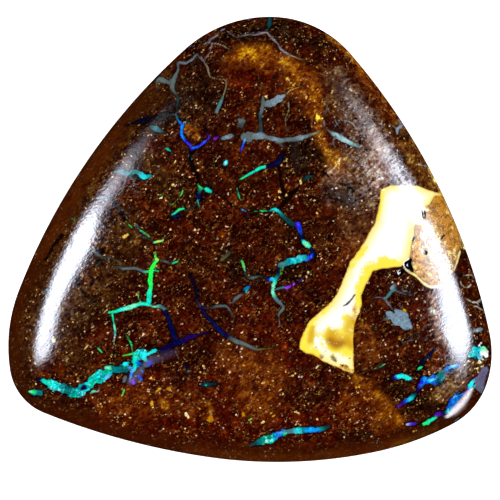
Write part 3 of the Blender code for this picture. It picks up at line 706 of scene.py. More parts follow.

# Soft colour over everything, the seams too: a painted highlight, the pale pink glare by the lower right
# corner, and dull lilac opal.
frontVeils = [
    ("blush", 1, (.16, .38, .44, .4, .18), (13.75, -9.2), (13.42, -9.7), (13.05, -10.2), (12.65, -10.6),
     (12.15, -11)),
    ("haze", .6, (.4, .5, .3), (-6.4, -7.5), (-6, -7.4), (-5.6, -7.3)),
    ("dusk", .6, (.4, .6, .5, .3), (-5.9, -7.4), (-5.5, -7.25), (-4.95, -7.05), (-4.6, -6.95)),
    ("haze", .55, (.4, .6, .4), (-6.7, -8), (-7.05, -8.5), (-7.4, -8.8)),
    ("murk", .6, (.5, .6, .4), (2.7, 5.9), (2.8, 5.1), (2.85, 4.4)),
    ("char", .6, (.6, .7), (5.6, 2.75), (6.1, 2.3)),
    ("haze", .6, (.2, .3, .3, .2), (14.5, -8.5), (14.42, -8.8), (14.3, -9.1), (14.15, -9.35)),
]

# Clouds of colour on the two pale patches.
patchClouds = [
    ("lemon", .95, (.4, .9, 1, .9, .6), (9.2, -1.5), (8.2, -1.45), (7.4, -1.9), (6.95, -2.8), (6.75, -4)),
    ("lemon", .6, (.4, .3, .3), (3.8, -5), (4.4, -4.6), (5.2, -3.9)),
    ("lemon", .8, (.4, .4), (6.2, -1.7), (7.1, -.5)),
    ("lemon", .6, (.3, .4, .3), (7.85, 1.2), (8.1, 2.4), (8.15, 3)),
    ("lemon", .9, (.7, .9, .7), (3.3, -6.2), (3.3, -6.7), (4, -7.05)),
    ("lemon", .8, (1.3, 1.6, 1.3), (4.9, -6), (5.3, -6.4), (6, -6.6)),
    ("lemon", .9, (.6, .9, .7), (3.8, -5.3), (3.74, -5.9), (3.6, -6.4)),
    ("honey", .7, (.3, .5, .4), (3.85, -5.4), (3.8, -5.8), (3.7, -6.3)),
    ("lemon", .7, (.8, 1, .8), (6, -4.9), (6.05, -5.7), (6, -6.9)),
    ("honey", .8, (.8, 1, .7, .5), (5, -5.9), (5.3, -6.3), (5.9, -6.3), (6.3, -6.6)),
    ("honey", .5, (.5, .6, .5), (6.15, -4.9), (6.05, -5.5), (6.1, -6.3)),
    ("ochre", .8, (.5, .6, .4), (4.9, -6.2), (5.3, -6.5), (5.7, -6.4)),
    ("ochre", .9, (.24, .3), (5.8, -7.82), (5.95, -7.9)),
    ("olive", .8, (.36, .3), (5.1, -7.32), (5.3, -7.48)),
    ("bark", .6, (.3,), (4.42, -7.2)),
    ("honey", .6, (.3, .3), (5.6, -7.9), (6.4, -8.1)),
    ("honey", .6, (.24, .34, .24), (6.45, -4), (6.42, -5), (6.4, -5.8)),
    ("olive", .5, (.16,), (4.1, -6.62)),
    ("olive", .5, (.16,), (4.65, -6.85)),
    ("amber", .95, (.9, 1.3, 1.3, 1, .7), (11.8, 2.3), (12.2, 1.2), (12.5, .2), (12.55, -.5),
     (12.75, -1.1)),
    ("honey", .8, (.7, .8), (11.3, 1.2), (11.7, .6)),
    ("honey", .8, (.5, 1, 1.2, 1, .7), (10.3, .2), (10.5, -.8), (10.7, -1.6), (10.9, -2.2), (11.4, -2.6)),
    ("amber", .85, (.4, .6, .6, .4), (10.05, -1.2), (10.2, -1.9), (10.7, -2.4), (11.2, -2.5)),
    ("ochre", .8, (.2, .24, .2), (10.15, 0), (10.02, -.6), (9.98, -1.2)),
    ("olive", .5, (.4, .5), (11, -.9), (10.95, -1.6)),
    # painted highlight: the pale streak where the right-hand panel shows across the tan patch, with a pale
    # pink patch at its top
    ("milk", .8, (.5, .8, .9, 1, .8), (10.9, 1), (11, .3), (11.5, -.7), (12, -1.6), (12.1, -2.3)),
    ("blush", .6, (.6, .7), (10.8, .4), (11.3, -.3)),
]

# Outlines of the two pale patches, walked clockwise.
creamOutline = (
    (8.05, 3), (8.3, 3.2), (8.7, 3.35), (9.9, 3.37), (10.5, 3.28), (11, 3.08), (11.5, 2.92), (11.9, 2.85),
    (12.02, 2.66), (11.4, 2.7), (11.25, 2.35), (11.1, 2.1), (10.85, 2.1), (10.78, 1.3), (10.6, 1),
    (10.2, .9), (10.15, .3), (10, -.3), (9.95, -.8), (9.85, -1.15), (9.5, -1.5), (9.35, -1.65), (9, -1.7),
    (8, -1.85), (7.6, -1.95), (7.45, -2.2), (7.2, -2.7), (7, -3.1), (6.85, -3.5), (6.9, -3.9), (6.8, -4.4),
    (6.6, -4.8), (6.45, -5.1), (6.38, -6.06), (6.4, -7.6), (6.44, -8.2), (6.3, -8.3), (5.8, -8.08),
    (5.15, -7.78), (4.55, -7.55), (4, -7.15), (3.3, -6.95), (3.05, -6.75), (3.05, -6.4), (3.15, -6.1),
    (3.35, -5.6), (3.6, -5.1), (3.8, -4.9), (4.2, -4.55), (4.6, -4.2), (5, -3.85), (5.25, -3.5),
    (5.45, -3.1), (5.93, -2), (6.12, -1.45), (6.5, -.95), (6.83, -.5), (7.06, -.1), (7.4, .5), (7.74, 1.1),
    (7.85, 1.7), (8, 2.3),
)
tanOutline = (
    (11.4, 2.72), (11.95, 2.72), (12.3, 2.5), (12.8, 1.6), (13.3, .4), (13.35, -.2), (13.12, -.4),
    (12.85, -1.2), (12.62, -1.9), (12.2, -2.5), (11.9, -2.85), (11.3, -2.97), (10.9, -2.87), (10.3, -2.3),
    (9.9, -2.05), (9.55, -1.75), (9.85, -1.15), (9.95, -.8), (10, -.3), (10.15, .3), (10.2, .9), (10.6, 1),
    (10.78, 1.3), (10.85, 2.1), (11.1, 2.1), (11.25, 2.35),
)

# The back isn't seen lying down: a few seams run on from the girdle, and the pale patch comes through.
backSeams = [
    ("teal cyan aqua teal smoke", (.3, .5, .4, .3, .1), (13.2, -8.3), (12, -8.6), (10.6, -7.9),
     (9.4, -8.4), (7.8, -7.6), (6.5, -7.9)),
    ("smoke slate slate smoke", (.1, .16, .12, .06), (-4.4, 10), (-3.4, 9), (-3.8, 7.6), (-2.9, 6.2),
     (-3.1, 4.9)),
    ("pine sea pine", (.24, .18, .08), (1.2, 12.6), (1.4, 10.9), (.9, 9.7), (1.5, 8.4)),
    ("aqua teal navy ink", (.3, .4, .26, .1), (-12.6, -8.9), (-11, -8.2), (-9.7, -8.5), (-8.2, -7.6),
     (-6.9, -7.9), (-5.4, -7.1)),
    ("smoke olive smoke", (.08, .12, .06), (-10.8, 0), (-9.2, -.6), (-7.4, -.2), (-5.9, -1.1), (-4.2, -.8),
     (-2.6, -1.7)),
    ("navy blue azure teal pine", (.1, .24, .3, .2, .1), (2.2, -3.1), (3.3, -2.2), (3, -1), (4.1, .1),
     (4, 1.4), (5.2, 2.3)),
    ("smoke", (.08,), (5.2, 2.3), (6.6, 3.1), (7.4, 4.6), (8.3, 5)),
    ("teal aqua azure teal", (.2, .34, .24, .08), (.8, -11.8), (2.6, -11), (4.2, -11.2), (5.5, -10.6)),
]
backClouds = [
    ("ochre", .7, (2, 3, 2), (-6, -4), (-3, -2.4), (0, -4)),
    ("moss", .6, (3, 4), (-7, 2), (-3, 4)),
    ("maroon", .7, (4, 4), (4, -6), (8, -3)),
    ("amber", .8, (1, 1.4, 1), (9, 2), (10.6, 1), (11.4, -1)),
]
backOutline = (
    (9.2, 2.6), (10.4, 3), (11.8, 2.4), (12.6, .4), (12.4, -1.8), (11, -1.6), (10.2, -.8), (9.4, .2),
    (8.8, 1.4),
)

pitSeams = [("black", widths, *places) for widths, *places in frontPits]
glintSeams = [(tone, (width,), (x, y)) for tone, spots in frontGlints.items() for x, y, width in spots]
frontMarks = {
    "seams": frontSeams, "glints": frontStrokes + glintSeams, "pits": pitSeams, "cloudTone": frontClouds,
    "patchTone": patchClouds, "veilTone": frontVeils, "creamGap": creamOutline, "tanGap": tanOutline,
}
backMarks = {"seams": backSeams, "cloudTone": backClouds, "tanGap": backOutline}

markingReach = {
    "seams": 0.4,         # how far past a seam's edge the distance to it is kept
    "patches": 1.5,       # the same for the pale patches
    "pathStep": 0.04,
    "easeSteps": 5,       # steps of the running mean that eases the corners
    "cloudSpread": 1.5,   # a cloud fades out over this much of its width
    "sideSway": 1.1,      # how far the markings stray down the side
    "swaySize": 1.3,      # the size of its bends
    "swayUpright": 1.6,   # a millimetre up the side counts as so many across it
    "swayStart": 40,      # where the sway is taken from its noise
    "sideFade": 1.3,      # clouds fade by this share of the way down the side, more or less by the sway
    "fadeSway": 0.8,
    "sideCalm": 2.2,      # how much further from the rim the foot of the side counts
}


def layPath(places, widths):
    # Even steps along straight runs between the points, with the corners eased by a running mean.
    # Gives x, y, half the width, and the place along the path counted in points.
    places = np.array(places, float)
    knots = np.arange(len(places))
    run = np.hypot(*np.diff(places, axis=0).T)
    length = np.concatenate(([0], np.cumsum(run)))
    count = int(length[-1] / markingReach["pathStep"]) + 1
    along = np.interp(np.linspace(0, length[-1], count), length, knots)
    x, y = np.interp(along, knots, places[:, 0]), np.interp(along, knots, places[:, 1])
    span = markingReach["easeSteps"]
    if count > 2 * span - 1:
        ease = np.ones(span) / span
        x, y = (np.convolve(np.pad(line, span // 2, "edge"), ease, "valid") for line in (x, y))
    half = np.interp(along, np.linspace(0, knots[-1], len(widths)), widths) / 2
    return x, y, half, along


def pointsNear(x, y, lineX, lineY, margin):
    # Index numbers of the points in the box that holds a line and a margin round it.
    return np.flatnonzero((x > lineX.min() - margin) & (x < lineX.max() + margin)
                          & (y > lineY.min() - margin) & (y < lineY.max() + margin))


def spreadTones(names, along, pointCount):
    # Colours spread evenly over a path's points, blended as amounts of light.
    tones = linearColour([markingTones[name] for name in names.split()])
    steps = np.linspace(0, max(pointCount - 1, 0), len(tones))
    return np.stack([np.interp(along, steps, tones[:, channel]) for channel in range(3)], axis=-1)


def paintSeams(x, y, seams):
    # For each point of the stone: the distance to the nearest seam's edge, negative inside it, and
    # that seam's tone and width there. Inside its own edge a later seam covers an earlier one. A
    # tone's fourth number is its flash: 1.3 times its saturation, less 0.3, from 0 to 1.
    gap = np.full(len(x), markingReach["seams"])
    tone = np.zeros((len(x), 4))
    width = np.zeros(len(x))
    for names, widths, *places in seams:
        pathX, pathY, half, along = layPath(places, widths)
        near = pointsNear(x, y, pathX, pathY, half.max() + markingReach["seams"])
        if not len(near):
            continue
        toEdge = np.hypot(x[near, None] - pathX, y[near, None] - pathY) - half
        best = toEdge.argmin(axis=1)
        toEdge = toEdge[np.arange(len(near)), best]
        closer = (toEdge < gap[near]) | (toEdge < 0)
        chosen = near[closer]
        gap[chosen] = toEdge[closer]
        tone[chosen, :3] = spreadTones(names, along, len(places))[best[closer]]
        width[chosen] = half[best[closer]] * 2
    brightest = np.maximum(tone[:, :3].max(axis=1), 1e-6)
    tone[:, 3] = np.clip(1.3 * (1 - tone[:, :3].min(axis=1) / brightest) - 0.3, 0, 1)
    return gap, tone, width


def paintClouds(x, y, clouds):
    # Each cloud covers what is under it by its strength, fading as 1 - t squared, all squared,
    # with t running from 0 on its path to 1 at its edge. A tone's fourth number is its cover.
    painted = np.zeros((len(x), 4))
    for name, strength, widths, *places in clouds:
        pathX, pathY, half, _ = layPath(places, np.array(widths) * markingReach["cloudSpread"])
        near = pointsNear(x, y, pathX, pathY, half.max())
        distance = np.hypot(x[near, None] - pathX, y[near, None] - pathY)
        share = strength * np.clip(1 - (distance / half).min(axis=1) ** 2, 0, 1) ** 2
        under = painted[near, 3] * (1 - share)
        total = np.maximum(share + under, 1e-9)
        tone = linearColour(markingTones[name]) * share[:, None] + painted[near, :3] * under[:, None]
        painted[near, :3] = tone / total[:, None]
        painted[near, 3] = share + under
    return painted


def outlineGap(x, y, outline):
    # Distance to a closed outline, negative inside. A point is inside if a line from it along +X
    # crosses the outline an odd number of times.
    reach = markingReach["patches"]
    gap = np.full(len(x), reach)
    if not outline:
        return gap
    start = np.array(outline, float)
    end = np.roll(start, -1, axis=0)
    near = pointsNear(x, y, *start.T, reach)
    px, py = x[near, None] - start[:, 0], y[near, None] - start[:, 1]
    sideX, sideY = (end - start).T
    share = np.clip((px * sideX + py * sideY) / (sideX ** 2 + sideY ** 2), 0, 1)
    distance = np.hypot(px - share * sideX, py - share * sideY).min(axis=1)
    straddles = (py < 0) != (y[near, None] < end[:, 1])
    slope = np.divide(sideX, sideY, out=np.zeros(len(sideX)), where=sideY != 0)
    inside = (straddles & (px < py * slope)).sum(axis=1) % 2 == 1
    gap[near] = np.clip(np.where(inside, -distance, distance), -reach, reach)
    return gap


# ---- building the stone

def buildStone(form):
    # The dome's grid, rings over its lip and down the edge, and the back's grid, joined as one skin.
    girdle = girdleOutline(form)
    share, direction = discGrid(form["frontGrid"])
    frontQuads, frontBorder = gridFaces(form["frontGrid"])
    front = domeSurface(form, girdle, share * form["frontShare"], direction)
    around = direction[frontBorder]

    lipAngle = math.acos(form["frontShare"])
    lipAngles = lipAngle * (1 - np.arange(1, form["lipRings"] + 1) / form["lipRings"])
    lips = [domeSurface(form, girdle, np.full(len(around), math.cos(angle)), around) for angle in lipAngles]
    edgeAngles = math.pi / 2 * np.arange(1, form["edgeRings"] + 1) / form["edgeRings"]
    edges = [edgeSurface(form, girdle, angle, around) for angle in edgeAngles]
    rings = np.concatenate(lips + edges)

    backShare, backDirection = discGrid(form["backGrid"])
    backQuads, backBorder = gridFaces(form["backGrid"])
    centre = np.array([*form["domeCentre"], 0])
    rimOfBack = edgeSurface(form, girdle, math.pi / 2, backDirection)
    back = centre + (rimOfBack - centre) * (backShare * form["backShare"])[:, None]
    back[:, 2] = 0

    x, y = front[:, 0], front[:, 1]
    small, large = form["polishSizes"]
    front[:, 2] += form["polishRelief"] * (reliefNoise(x, y, small, 4) + reliefNoise(x, y, large, 5))
    pitShare = np.clip(-form["pitLip"] - paintSeams(x, y, frontMarks["pits"])[0] / form["pitSlope"], 0, 1)
    front[:, 2] -= form["pitDepth"] * pitShare ** 2
    x, y = back[:, 0], back[:, 1]
    waveX, waveY = form["sawWaves"]
    sawLine = np.sin(x * waveX + y * waveY) + reliefNoise(x, y, form["sawSize"], 6)
    fade = np.clip((1 - backShare) * form["sawFade"], 0, 1)
    back[:, 2] += form["sawRelief"] * fade * np.clip(0.5 + 0.25 * sawLine, 0, 1)

    count = len(around)
    step = np.arange(count)
    after = (step + 1) % count
    ringStart = len(front) + count * np.arange(form["lipRings"] + form["edgeRings"])
    loops = np.concatenate((frontBorder[None], ringStart[:, None] + step))
    upper, lower = loops[:-1], loops[1:]
    ringQuads = np.stack((lower, lower[:, after], upper[:, after], upper), axis=-1).reshape(-1, 4)
    backStart = len(front) + len(rings)
    inner = backBorder + backStart
    outer = loops[-1]
    third = np.arange(0, count, 3)
    stitch = np.stack((inner, np.roll(inner, -1), outer[(third + 3) % count], outer[third + 2],
                       outer[third + 1], outer[third]), axis=-1)

    points = np.concatenate((front, rings, back))
    quads = np.concatenate((frontQuads, ringQuads, backQuads[:, ::-1] + backStart))
    faces = quads.tolist() + stitch.tolist()
    mesh = bpy.data.meshes.new("polishedStone")
    mesh.from_pydata((points * mm).tolist(), [], faces)
    mesh.shade_smooth()
    stone = placeInScene("polishedBoulderOpal", mesh)
    triangles = sum(len(face) - 2 for face in faces)
    print("stone:", len(points), "points,", triangles, "triangles")

    rimDistance = girdleValue(girdle, "reach", direction) * (1 - share * form["frontShare"])
    ringRim = np.repeat(np.concatenate((np.cos(lipAngles), np.ones(form["edgeRings"]))), count)
    ringDistance = np.tile(girdleValue(girdle, "reach", around), len(ringRim) // count) * (1 - ringRim)
    farFromRim = np.full(len(back), form["farFromRim"])
    return stone, points, np.concatenate((rimDistance, ringDistance, farFromRim)), backStart


def placeInScene(name, data, place=(0, 0, 0)):
    thing = bpy.data.objects.new(name, data)
    thing.location = place
    bpy.context.scene.collection.objects.link(thing)
    return thing


def storeNumbers(mesh, name, values):
    layer = mesh.attributes.new(name, "FLOAT", "POINT")
    layer.data.foreach_set("value", values.astype(np.float32))


def storeColours(mesh, name, values):
    layer = mesh.attributes.new(name, "FLOAT_COLOR", "POINT")
    layer.data.foreach_set("color", values.astype(np.float32).ravel())


def markStone(mesh, points, rimDistance, backStart):
    # Lays the markings on the points: those of the dome, the lip and the edge by their place seen
    # from above, and the back's own on the back. Down the edge the places sway, the more the lower
    # they are, and the pale patches draw in, so no marking runs straight down the side.
    x, y, z = points.T.copy()
    depth = np.clip(1 - z / (stoneForm["girdleHeight"] + stoneForm["girdleRise"] * y), 0, 1)
    depth[backStart:] = 0
    reach = markingReach
    acrossX, acrossY = x + reach["swayStart"], y + reach["swayUpright"] * z + reach["swayStart"]
    sway = [reliefNoise(acrossX, acrossY, reach["swaySize"], seed) for seed in (7, 8)]
    x += reach["sideSway"] * depth * sway[0]
    y += reach["sideSway"] * depth * sway[1]
    drawIn = reach["sideSway"] * depth * (1 + sway[0])

    names = ("seamGap", "seamWidth", "glintGap", "pitGap", "creamGap", "tanGap")
    numbers = {name: np.zeros(len(x)) for name in names}
    numbers["rimDistance"] = rimDistance + reach["sideCalm"] * depth
    numbers["ground"] = (np.arange(len(x)) >= backStart).astype(float)
    names = ("glintTone", "seamTone", "cloudTone", "patchTone", "veilTone")
    colours = {name: np.zeros((len(x), 4)) for name in names}
    for part, marks in ((slice(0, backStart), frontMarks), (slice(backStart, None), backMarks)):
        px, py = x[part], y[part]
        gap, colours["seamTone"][part], numbers["seamWidth"][part] = paintSeams(px, py, marks["seams"])
        numbers["seamGap"][part] = gap
        gap, colours["glintTone"][part], _ = paintSeams(px, py, marks.get("glints", ()))
        numbers["glintGap"][part] = gap
        numbers["pitGap"][part] = paintSeams(px, py, marks.get("pits", ()))[0]
        for name in ("cloudTone", "patchTone", "veilTone"):
            colours[name][part] = paintClouds(px, py, marks.get(name, ()))
        for name in ("creamGap", "tanGap"):
            numbers[name][part] = outlineGap(px, py, marks.get(name)) + drawIn[part]
    fade = depth * (reach["sideFade"] + reach["fadeSway"] * sway[1])
    colours["cloudTone"][:, 3] *= np.clip(1 - fade, 0, 1)
    for name, values in numbers.items():
        storeNumbers(mesh, name, values)
    for name, values in colours.items():
        storeColours(mesh, name, values)
    print("markings:", ", ".join(f"{len(marks)} {kind}" for kind, marks in frontMarks.items()))


# ---- materials

stoneLook = {
    "maroon": (38, 2, 0), "brown": (57, 8, 0), "amber": (80, 21, 0), "olive": (48, 15, 0),
    # The second tone on the next line, the dark one for the edge of the rim, is painted shade.
    "rimBand": (56, 18, 0), "paintedRimShade": (20, 6, 2), "worm": (176, 112, 50), "pit": (4, 3, 3),
    "grain": (164, 100, 36), "glint": (236, 180, 84), "paleGlint": (255, 234, 186),
    # The first two tones below are partly painted highlight haze.
    "darkSugarHaze": (104, 80, 66), "paleSugarHaze": (214, 190, 176), "opalFleck": (200, 255, 250),
    "tan": (162, 104, 0), "paleTan": (208, 158, 50), "tanIsland": (240, 220, 140),
    "tanCrack": (108, 62, 0), "tanFleck": (255, 244, 230), "tanSpeck": (104, 66, 14),
    "cream": (255, 238, 150), "creamHeart": (255, 254, 246), "creamMottle": (226, 196, 60),
    "creamEdge": (214, 160, 30),
    "slant": -40,                   # the way the grains lie, in degrees
    "slantStretch": (0.6, 1, 1),    # under 1 makes them longer that way
    # where the painted highlight haze at the lower right is centred
    "paintedHazeCorner": (12.4, -8.6, 3.2),
    "polish": 0.06,                 # roughness of the smooth places
    "grainRoughness": 0.15,         # and of the grains that took less polish
    "groundRoughness": 0.35,        # added on the sawn back
    "ior": 1.5,
    "grainBump": 0.0000045,         # in metres
}


def isSocket(value):
    return isinstance(value, bpy.types.NodeSocket)


def addNode(kind, inputs, tree=None, **settings):
    # A node with its settings, and each input either linked from another node or given a value.
    # It goes into the tree that its first link comes from, if none is given.
    if tree is None:
        tree = next(value.id_data for value in inputs.values() if isSocket(value))
    node = tree.nodes.new(kind)
    for name, value in settings.items():
        setattr(node, name, value)
    for name, value in inputs.items():
        if isSocket(value):
            tree.links.new(value, node.inputs[name])
        else:
            node.inputs[name].default_value = value
    return node


def newMaterial(name):
    material = bpy.data.materials.new(name)
    material.use_nodes = True
    return material, material.node_tree


def compute(operation, first, second=0.0, third=0.0):
    return addNode("ShaderNodeMath", {0: first, 1: second, 2: third}, operation=operation).outputs[0]


def plus(first, second):
    return compute("ADD", first, second)


def minus(first, second):
    return compute("SUBTRACT", first, second)


def times(first, second):
    return compute("MULTIPLY", first, second)


def larger(first, second):
    return compute("MAXIMUM", first, second)


def remap(value, low, high, toLow=0.0, toHigh=1.0, kind="SMOOTHSTEP"):
    inputs = {"Value": value, "From Min": low, "From Max": high, "To Min": toLow, "To Max": toHigh}
    return addNode("ShaderNodeMapRange", inputs, interpolation_type=kind).outputs[0]


def stretch(value, toLow, toHigh, low=0.0, high=1.0):
    return remap(value, low, high, toLow, toHigh, "LINEAR")


def vary(noise, toLow, toHigh):
    # Stretches the range that most of a noise keeps to.
    return stretch(noise, toLow, toHigh, 0.3, 0.7)


def ridge(noise):
    # Zero along the winding lines where a noise is at its middle.
    return compute("ABSOLUTE", minus(noise, 0.5))


def mixTones(share, first, second):
    # Each tone is a link from another node or the name of a colour in the stone's look.
    tones = [tone if isSocket(tone) else (*linearColour(stoneLook[tone]), 1) for tone in (first, second)]
    return addNode("ShaderNodeMix", {0: share, 6: tones[0], 7: tones[1]}, data_type="RGBA").outputs[2]


def brighten(tone, amount):
    return addNode("ShaderNodeVectorMath", {0: tone, "Scale": amount}, operation="SCALE").outputs[0]


def grainNoise(place, scale, detail=2.0, roughness=0.5):
    inputs = {"Vector": place, "Scale": scale, "Detail": detail, "Roughness": roughness}
    return addNode("ShaderNodeTexNoise", inputs).outputs[0]


def cells(place, scale):
    # The distance to the middle of the nearest cell, and two random numbers for that cell.
    node = addNode("ShaderNodeTexVoronoi", {"Vector": place, "Scale": scale})
    parts = addNode("ShaderNodeSeparateColor", {0: node.outputs["Color"]})
    return node.outputs["Distance"], parts.outputs[0], parts.outputs[1]


def placeInMm(tree, turn=0.0, stretched=(1, 1, 1)):
    # Object coordinates in millimetres, turned and then squeezed for grains that lie one way.
    coordinates = addNode("ShaderNodeTexCoord", {}, tree).outputs["Object"]
    turned = addNode("ShaderNodeMapping", {"Vector": coordinates, "Rotation": (0, 0, math.radians(turn))})
    scale = tuple(share / mm for share in stretched)
    return addNode("ShaderNodeMapping", {"Vector": turned.outputs[0], "Scale": scale}).outputs[0]


def layer(place, name, output="Fac"):
    # Numbers or colours that were stored on the mesh, for the tree that the place belongs to.
    return addNode("ShaderNodeAttribute", {}, place.id_data, attribute_name=name).outputs[output]


def ironstoneTone(place, medium):
    # Broad patches of maroon, brown, amber and olive, with the painted clouds over them; one of these
    # clouds is a painted reflection along the right rim.
    tone = mixTones(remap(grainNoise(place, 0.35, 3, 0.6), 0.38, 0.58), "maroon", "brown")
    tone = mixTones(remap(grainNoise(place, 0.8, 4, 0.65), 0.52, 0.7, 0, 0.8), tone, "amber")
    tone = mixTones(remap(grainNoise(place, 0.5, 2), 0.52, 0.66, 0, 0.6), tone, "olive")
    cover = plus(layer(place, "cloudTone", "Alpha"), vary(medium, -0.3, 0.3))
    return mixTones(times(remap(cover, 0.08, 0.8), 0.85), tone, layer(place, "cloudTone", "Color"))


def gritTone(base, place, slanted, strength, poreDepth):
    # The grain makes each spot lighter or darker: red is multiplied by e to the power p, green by e to
    # the power 1.7 p and blue by e to the power 2 p, so dark spots turn red and light ones pale. Here
    # p is a sum of fine noise, a random value for each small cell and broader noise, less for pores.
    fine = compute("MULTIPLY_ADD", grainNoise(slanted, 5.5, 3, 0.68), 4.2, -2.25)
    cell = compute("MULTIPLY_ADD", cells(slanted, 7.0)[1], 0.6, -0.3)
    broad = compute("MULTIPLY_ADD", grainNoise(place, 1.5, 4, 0.6), 4.8, -2.5)
    pore = remap(grainNoise(slanted, 2.8, 2, 0.6), 0.4, 0.3)
    power = times(minus(plus(plus(fine, cell), broad), times(pore, poreDepth)), strength)
    shares = [compute("EXPONENT", times(power, steep)) for steep in (1.0, 1.7, 2.0)]
    shares = addNode("ShaderNodeCombineXYZ", dict(enumerate(shares))).outputs[0]
    return addNode("ShaderNodeVectorMath", {0: base, 1: shares}, operation="MULTIPLY").outputs[0]


def grainLayer(base, place, scale, limits, cellScale, tones, strength):
    # Grains: the high spots of a noise. Each small cell gives those in it their strength and tone.
    _, one, two = cells(place, cellScale)
    body = remap(grainNoise(place, scale, 2, 0.6), *limits)
    cover = times(times(body, strength), remap(one, 0.1, 1, 0.1, 1))
    return mixTones(cover, base, mixTones(two, *tones))


def addGrains(base, place, slanted, fine, x, y, rimDistance):
    # Grit, thin threads, three sizes of grain, sparks, and pale, granular grain at the right, which is
    # partly rough grain and partly painted highlight: the pinkish grey haze where the right-hand streak
    # fades. All but the last are calmer on the smooth band along the rim, which runs down the left and
    # along the base.
    calm = larger(remap(x, -3, -8), remap(y, -8, -11))
    rim = times(remap(rimDistance, 1.7, 0.5), calm)
    base = mixTones(times(rim, 0.7), base, "rimBand")
    rough = minus(1, times(rim, 0.8))
    base = gritTone(base, place, slanted, rough, remap(y, -8, -5, 0.3, 1.6))
    crowd = remap(grainNoise(place, 1.1, 3, 0.6), 0.4, 0.62, 0.25, 1)
    dense = times(times(rough, remap(y, 4.5, 8, 1, 0.7)), crowd)
    worm = times(remap(ridge(grainNoise(place, 4.2, 1, 0.5)), 0.03, 0.004),
                 remap(grainNoise(place, 2.4, 2), 0.5, 0.62))
    base = mixTones(times(times(worm, 0.4), dense), base, "worm")
    base = grainLayer(base, slanted, 6.0, (0.56, 0.64), 4.5, ("amber", "grain"), times(dense, 0.7))
    base = grainLayer(base, place, 6.0, (0.62, 0.68), 5.5, ("grain", "glint"), times(dense, 0.85))
    base = grainLayer(base, slanted, 5.0, (0.655, 0.69), 3.1, ("glint", "paleGlint"), dense)
    near, one, two = cells(place, 2.5)
    near = plus(near, vary(fine, -0.1, 0.1))
    spark = times(remap(near, 0.16, 0.09), remap(one, 0.4, 0.7))
    base = mixTones(times(spark, dense), base, mixTones(two, "glint", "paleGlint"))
    # painted highlight haze: pale grain round the lower end of the right-hand streak and over the upper
    # right, where it fades; the same share also roughens the polish there
    corner = addNode("ShaderNodeVectorMath", {0: place, 1: stoneLook["paintedHazeCorner"]}, operation="DISTANCE")
    sugarAndHaze = larger(times(remap(x, 4.8, 7.6), remap(y, 1, 4)), remap(corner.outputs["Value"], 1.7, 0.6))
    sugarAndHaze = times(sugarAndHaze, remap(rimDistance, 0.9, 1.6))
    tones = ("darkSugarHaze", "paleSugarHaze")
    return grainLayer(base, place, 5.2, (0.52, 0.64), 5, tones, times(sugarAndHaze, 0.8)), sugarAndHaze


def addPatches(base, place, fine, medium):
    # The tan patch, with islands, cracks and flecks, and the cream patch, golden along its edge.
    edge = vary(grainNoise(place, 3, 2, 0.55), -0.03, 0.03)
    cover = layer(place, "patchTone", "Alpha")
    mottle = times(plus(vary(fine, -0.15, 0.15), vary(medium, -0.4, 0.4)), remap(cover, 0, 0.3))
    cover = remap(plus(cover, mottle), 0.05, 0.8)
    # the clouds include painted highlight: the pale streak across the tan patch
    cloud = layer(place, "patchTone", "Color")
    tan = mixTones(remap(medium, 0.42, 0.62), "tan", "paleTan")
    tan = mixTones(cover, tan, cloud)
    tan = mixTones(remap(grainNoise(place, 1.5, 3, 0.6), 0.55, 0.62, 0, 0.75), tan, "tanIsland")
    tan = mixTones(remap(ridge(grainNoise(place, 1.4, 3, 0.7)), 0.045, 0.01, 0, 0.85), tan, "tanCrack")
    tan = mixTones(remap(grainNoise(place, 7, 2, 0.6), 0.62, 0.7, 0, 0.3), tan, "tanFleck")
    tan = mixTones(remap(grainNoise(place, 6, 2, 0.6), 0.36, 0.3, 0, 0.7), tan, "tanSpeck")
    inTan = remap(plus(layer(place, "tanGap"), edge), 0.02, -0.04)
    base = mixTones(inTan, base, tan)
    creamGap = plus(layer(place, "creamGap"), edge)
    cream = mixTones(remap(creamGap, -0.1, -0.75), "cream", "creamHeart")
    cream = mixTones(cover, cream, cloud)
    cream = mixTones(remap(grainNoise(place, 4, 4, 0.7), 0.58, 0.78, 0, 0.5), cream, "creamMottle")
    cream = mixTones(remap(creamGap, -0.14, 0, 0, 0.75), cream, "creamEdge")
    return mixTones(remap(creamGap, 0.02, -0.04), base, cream), inTan


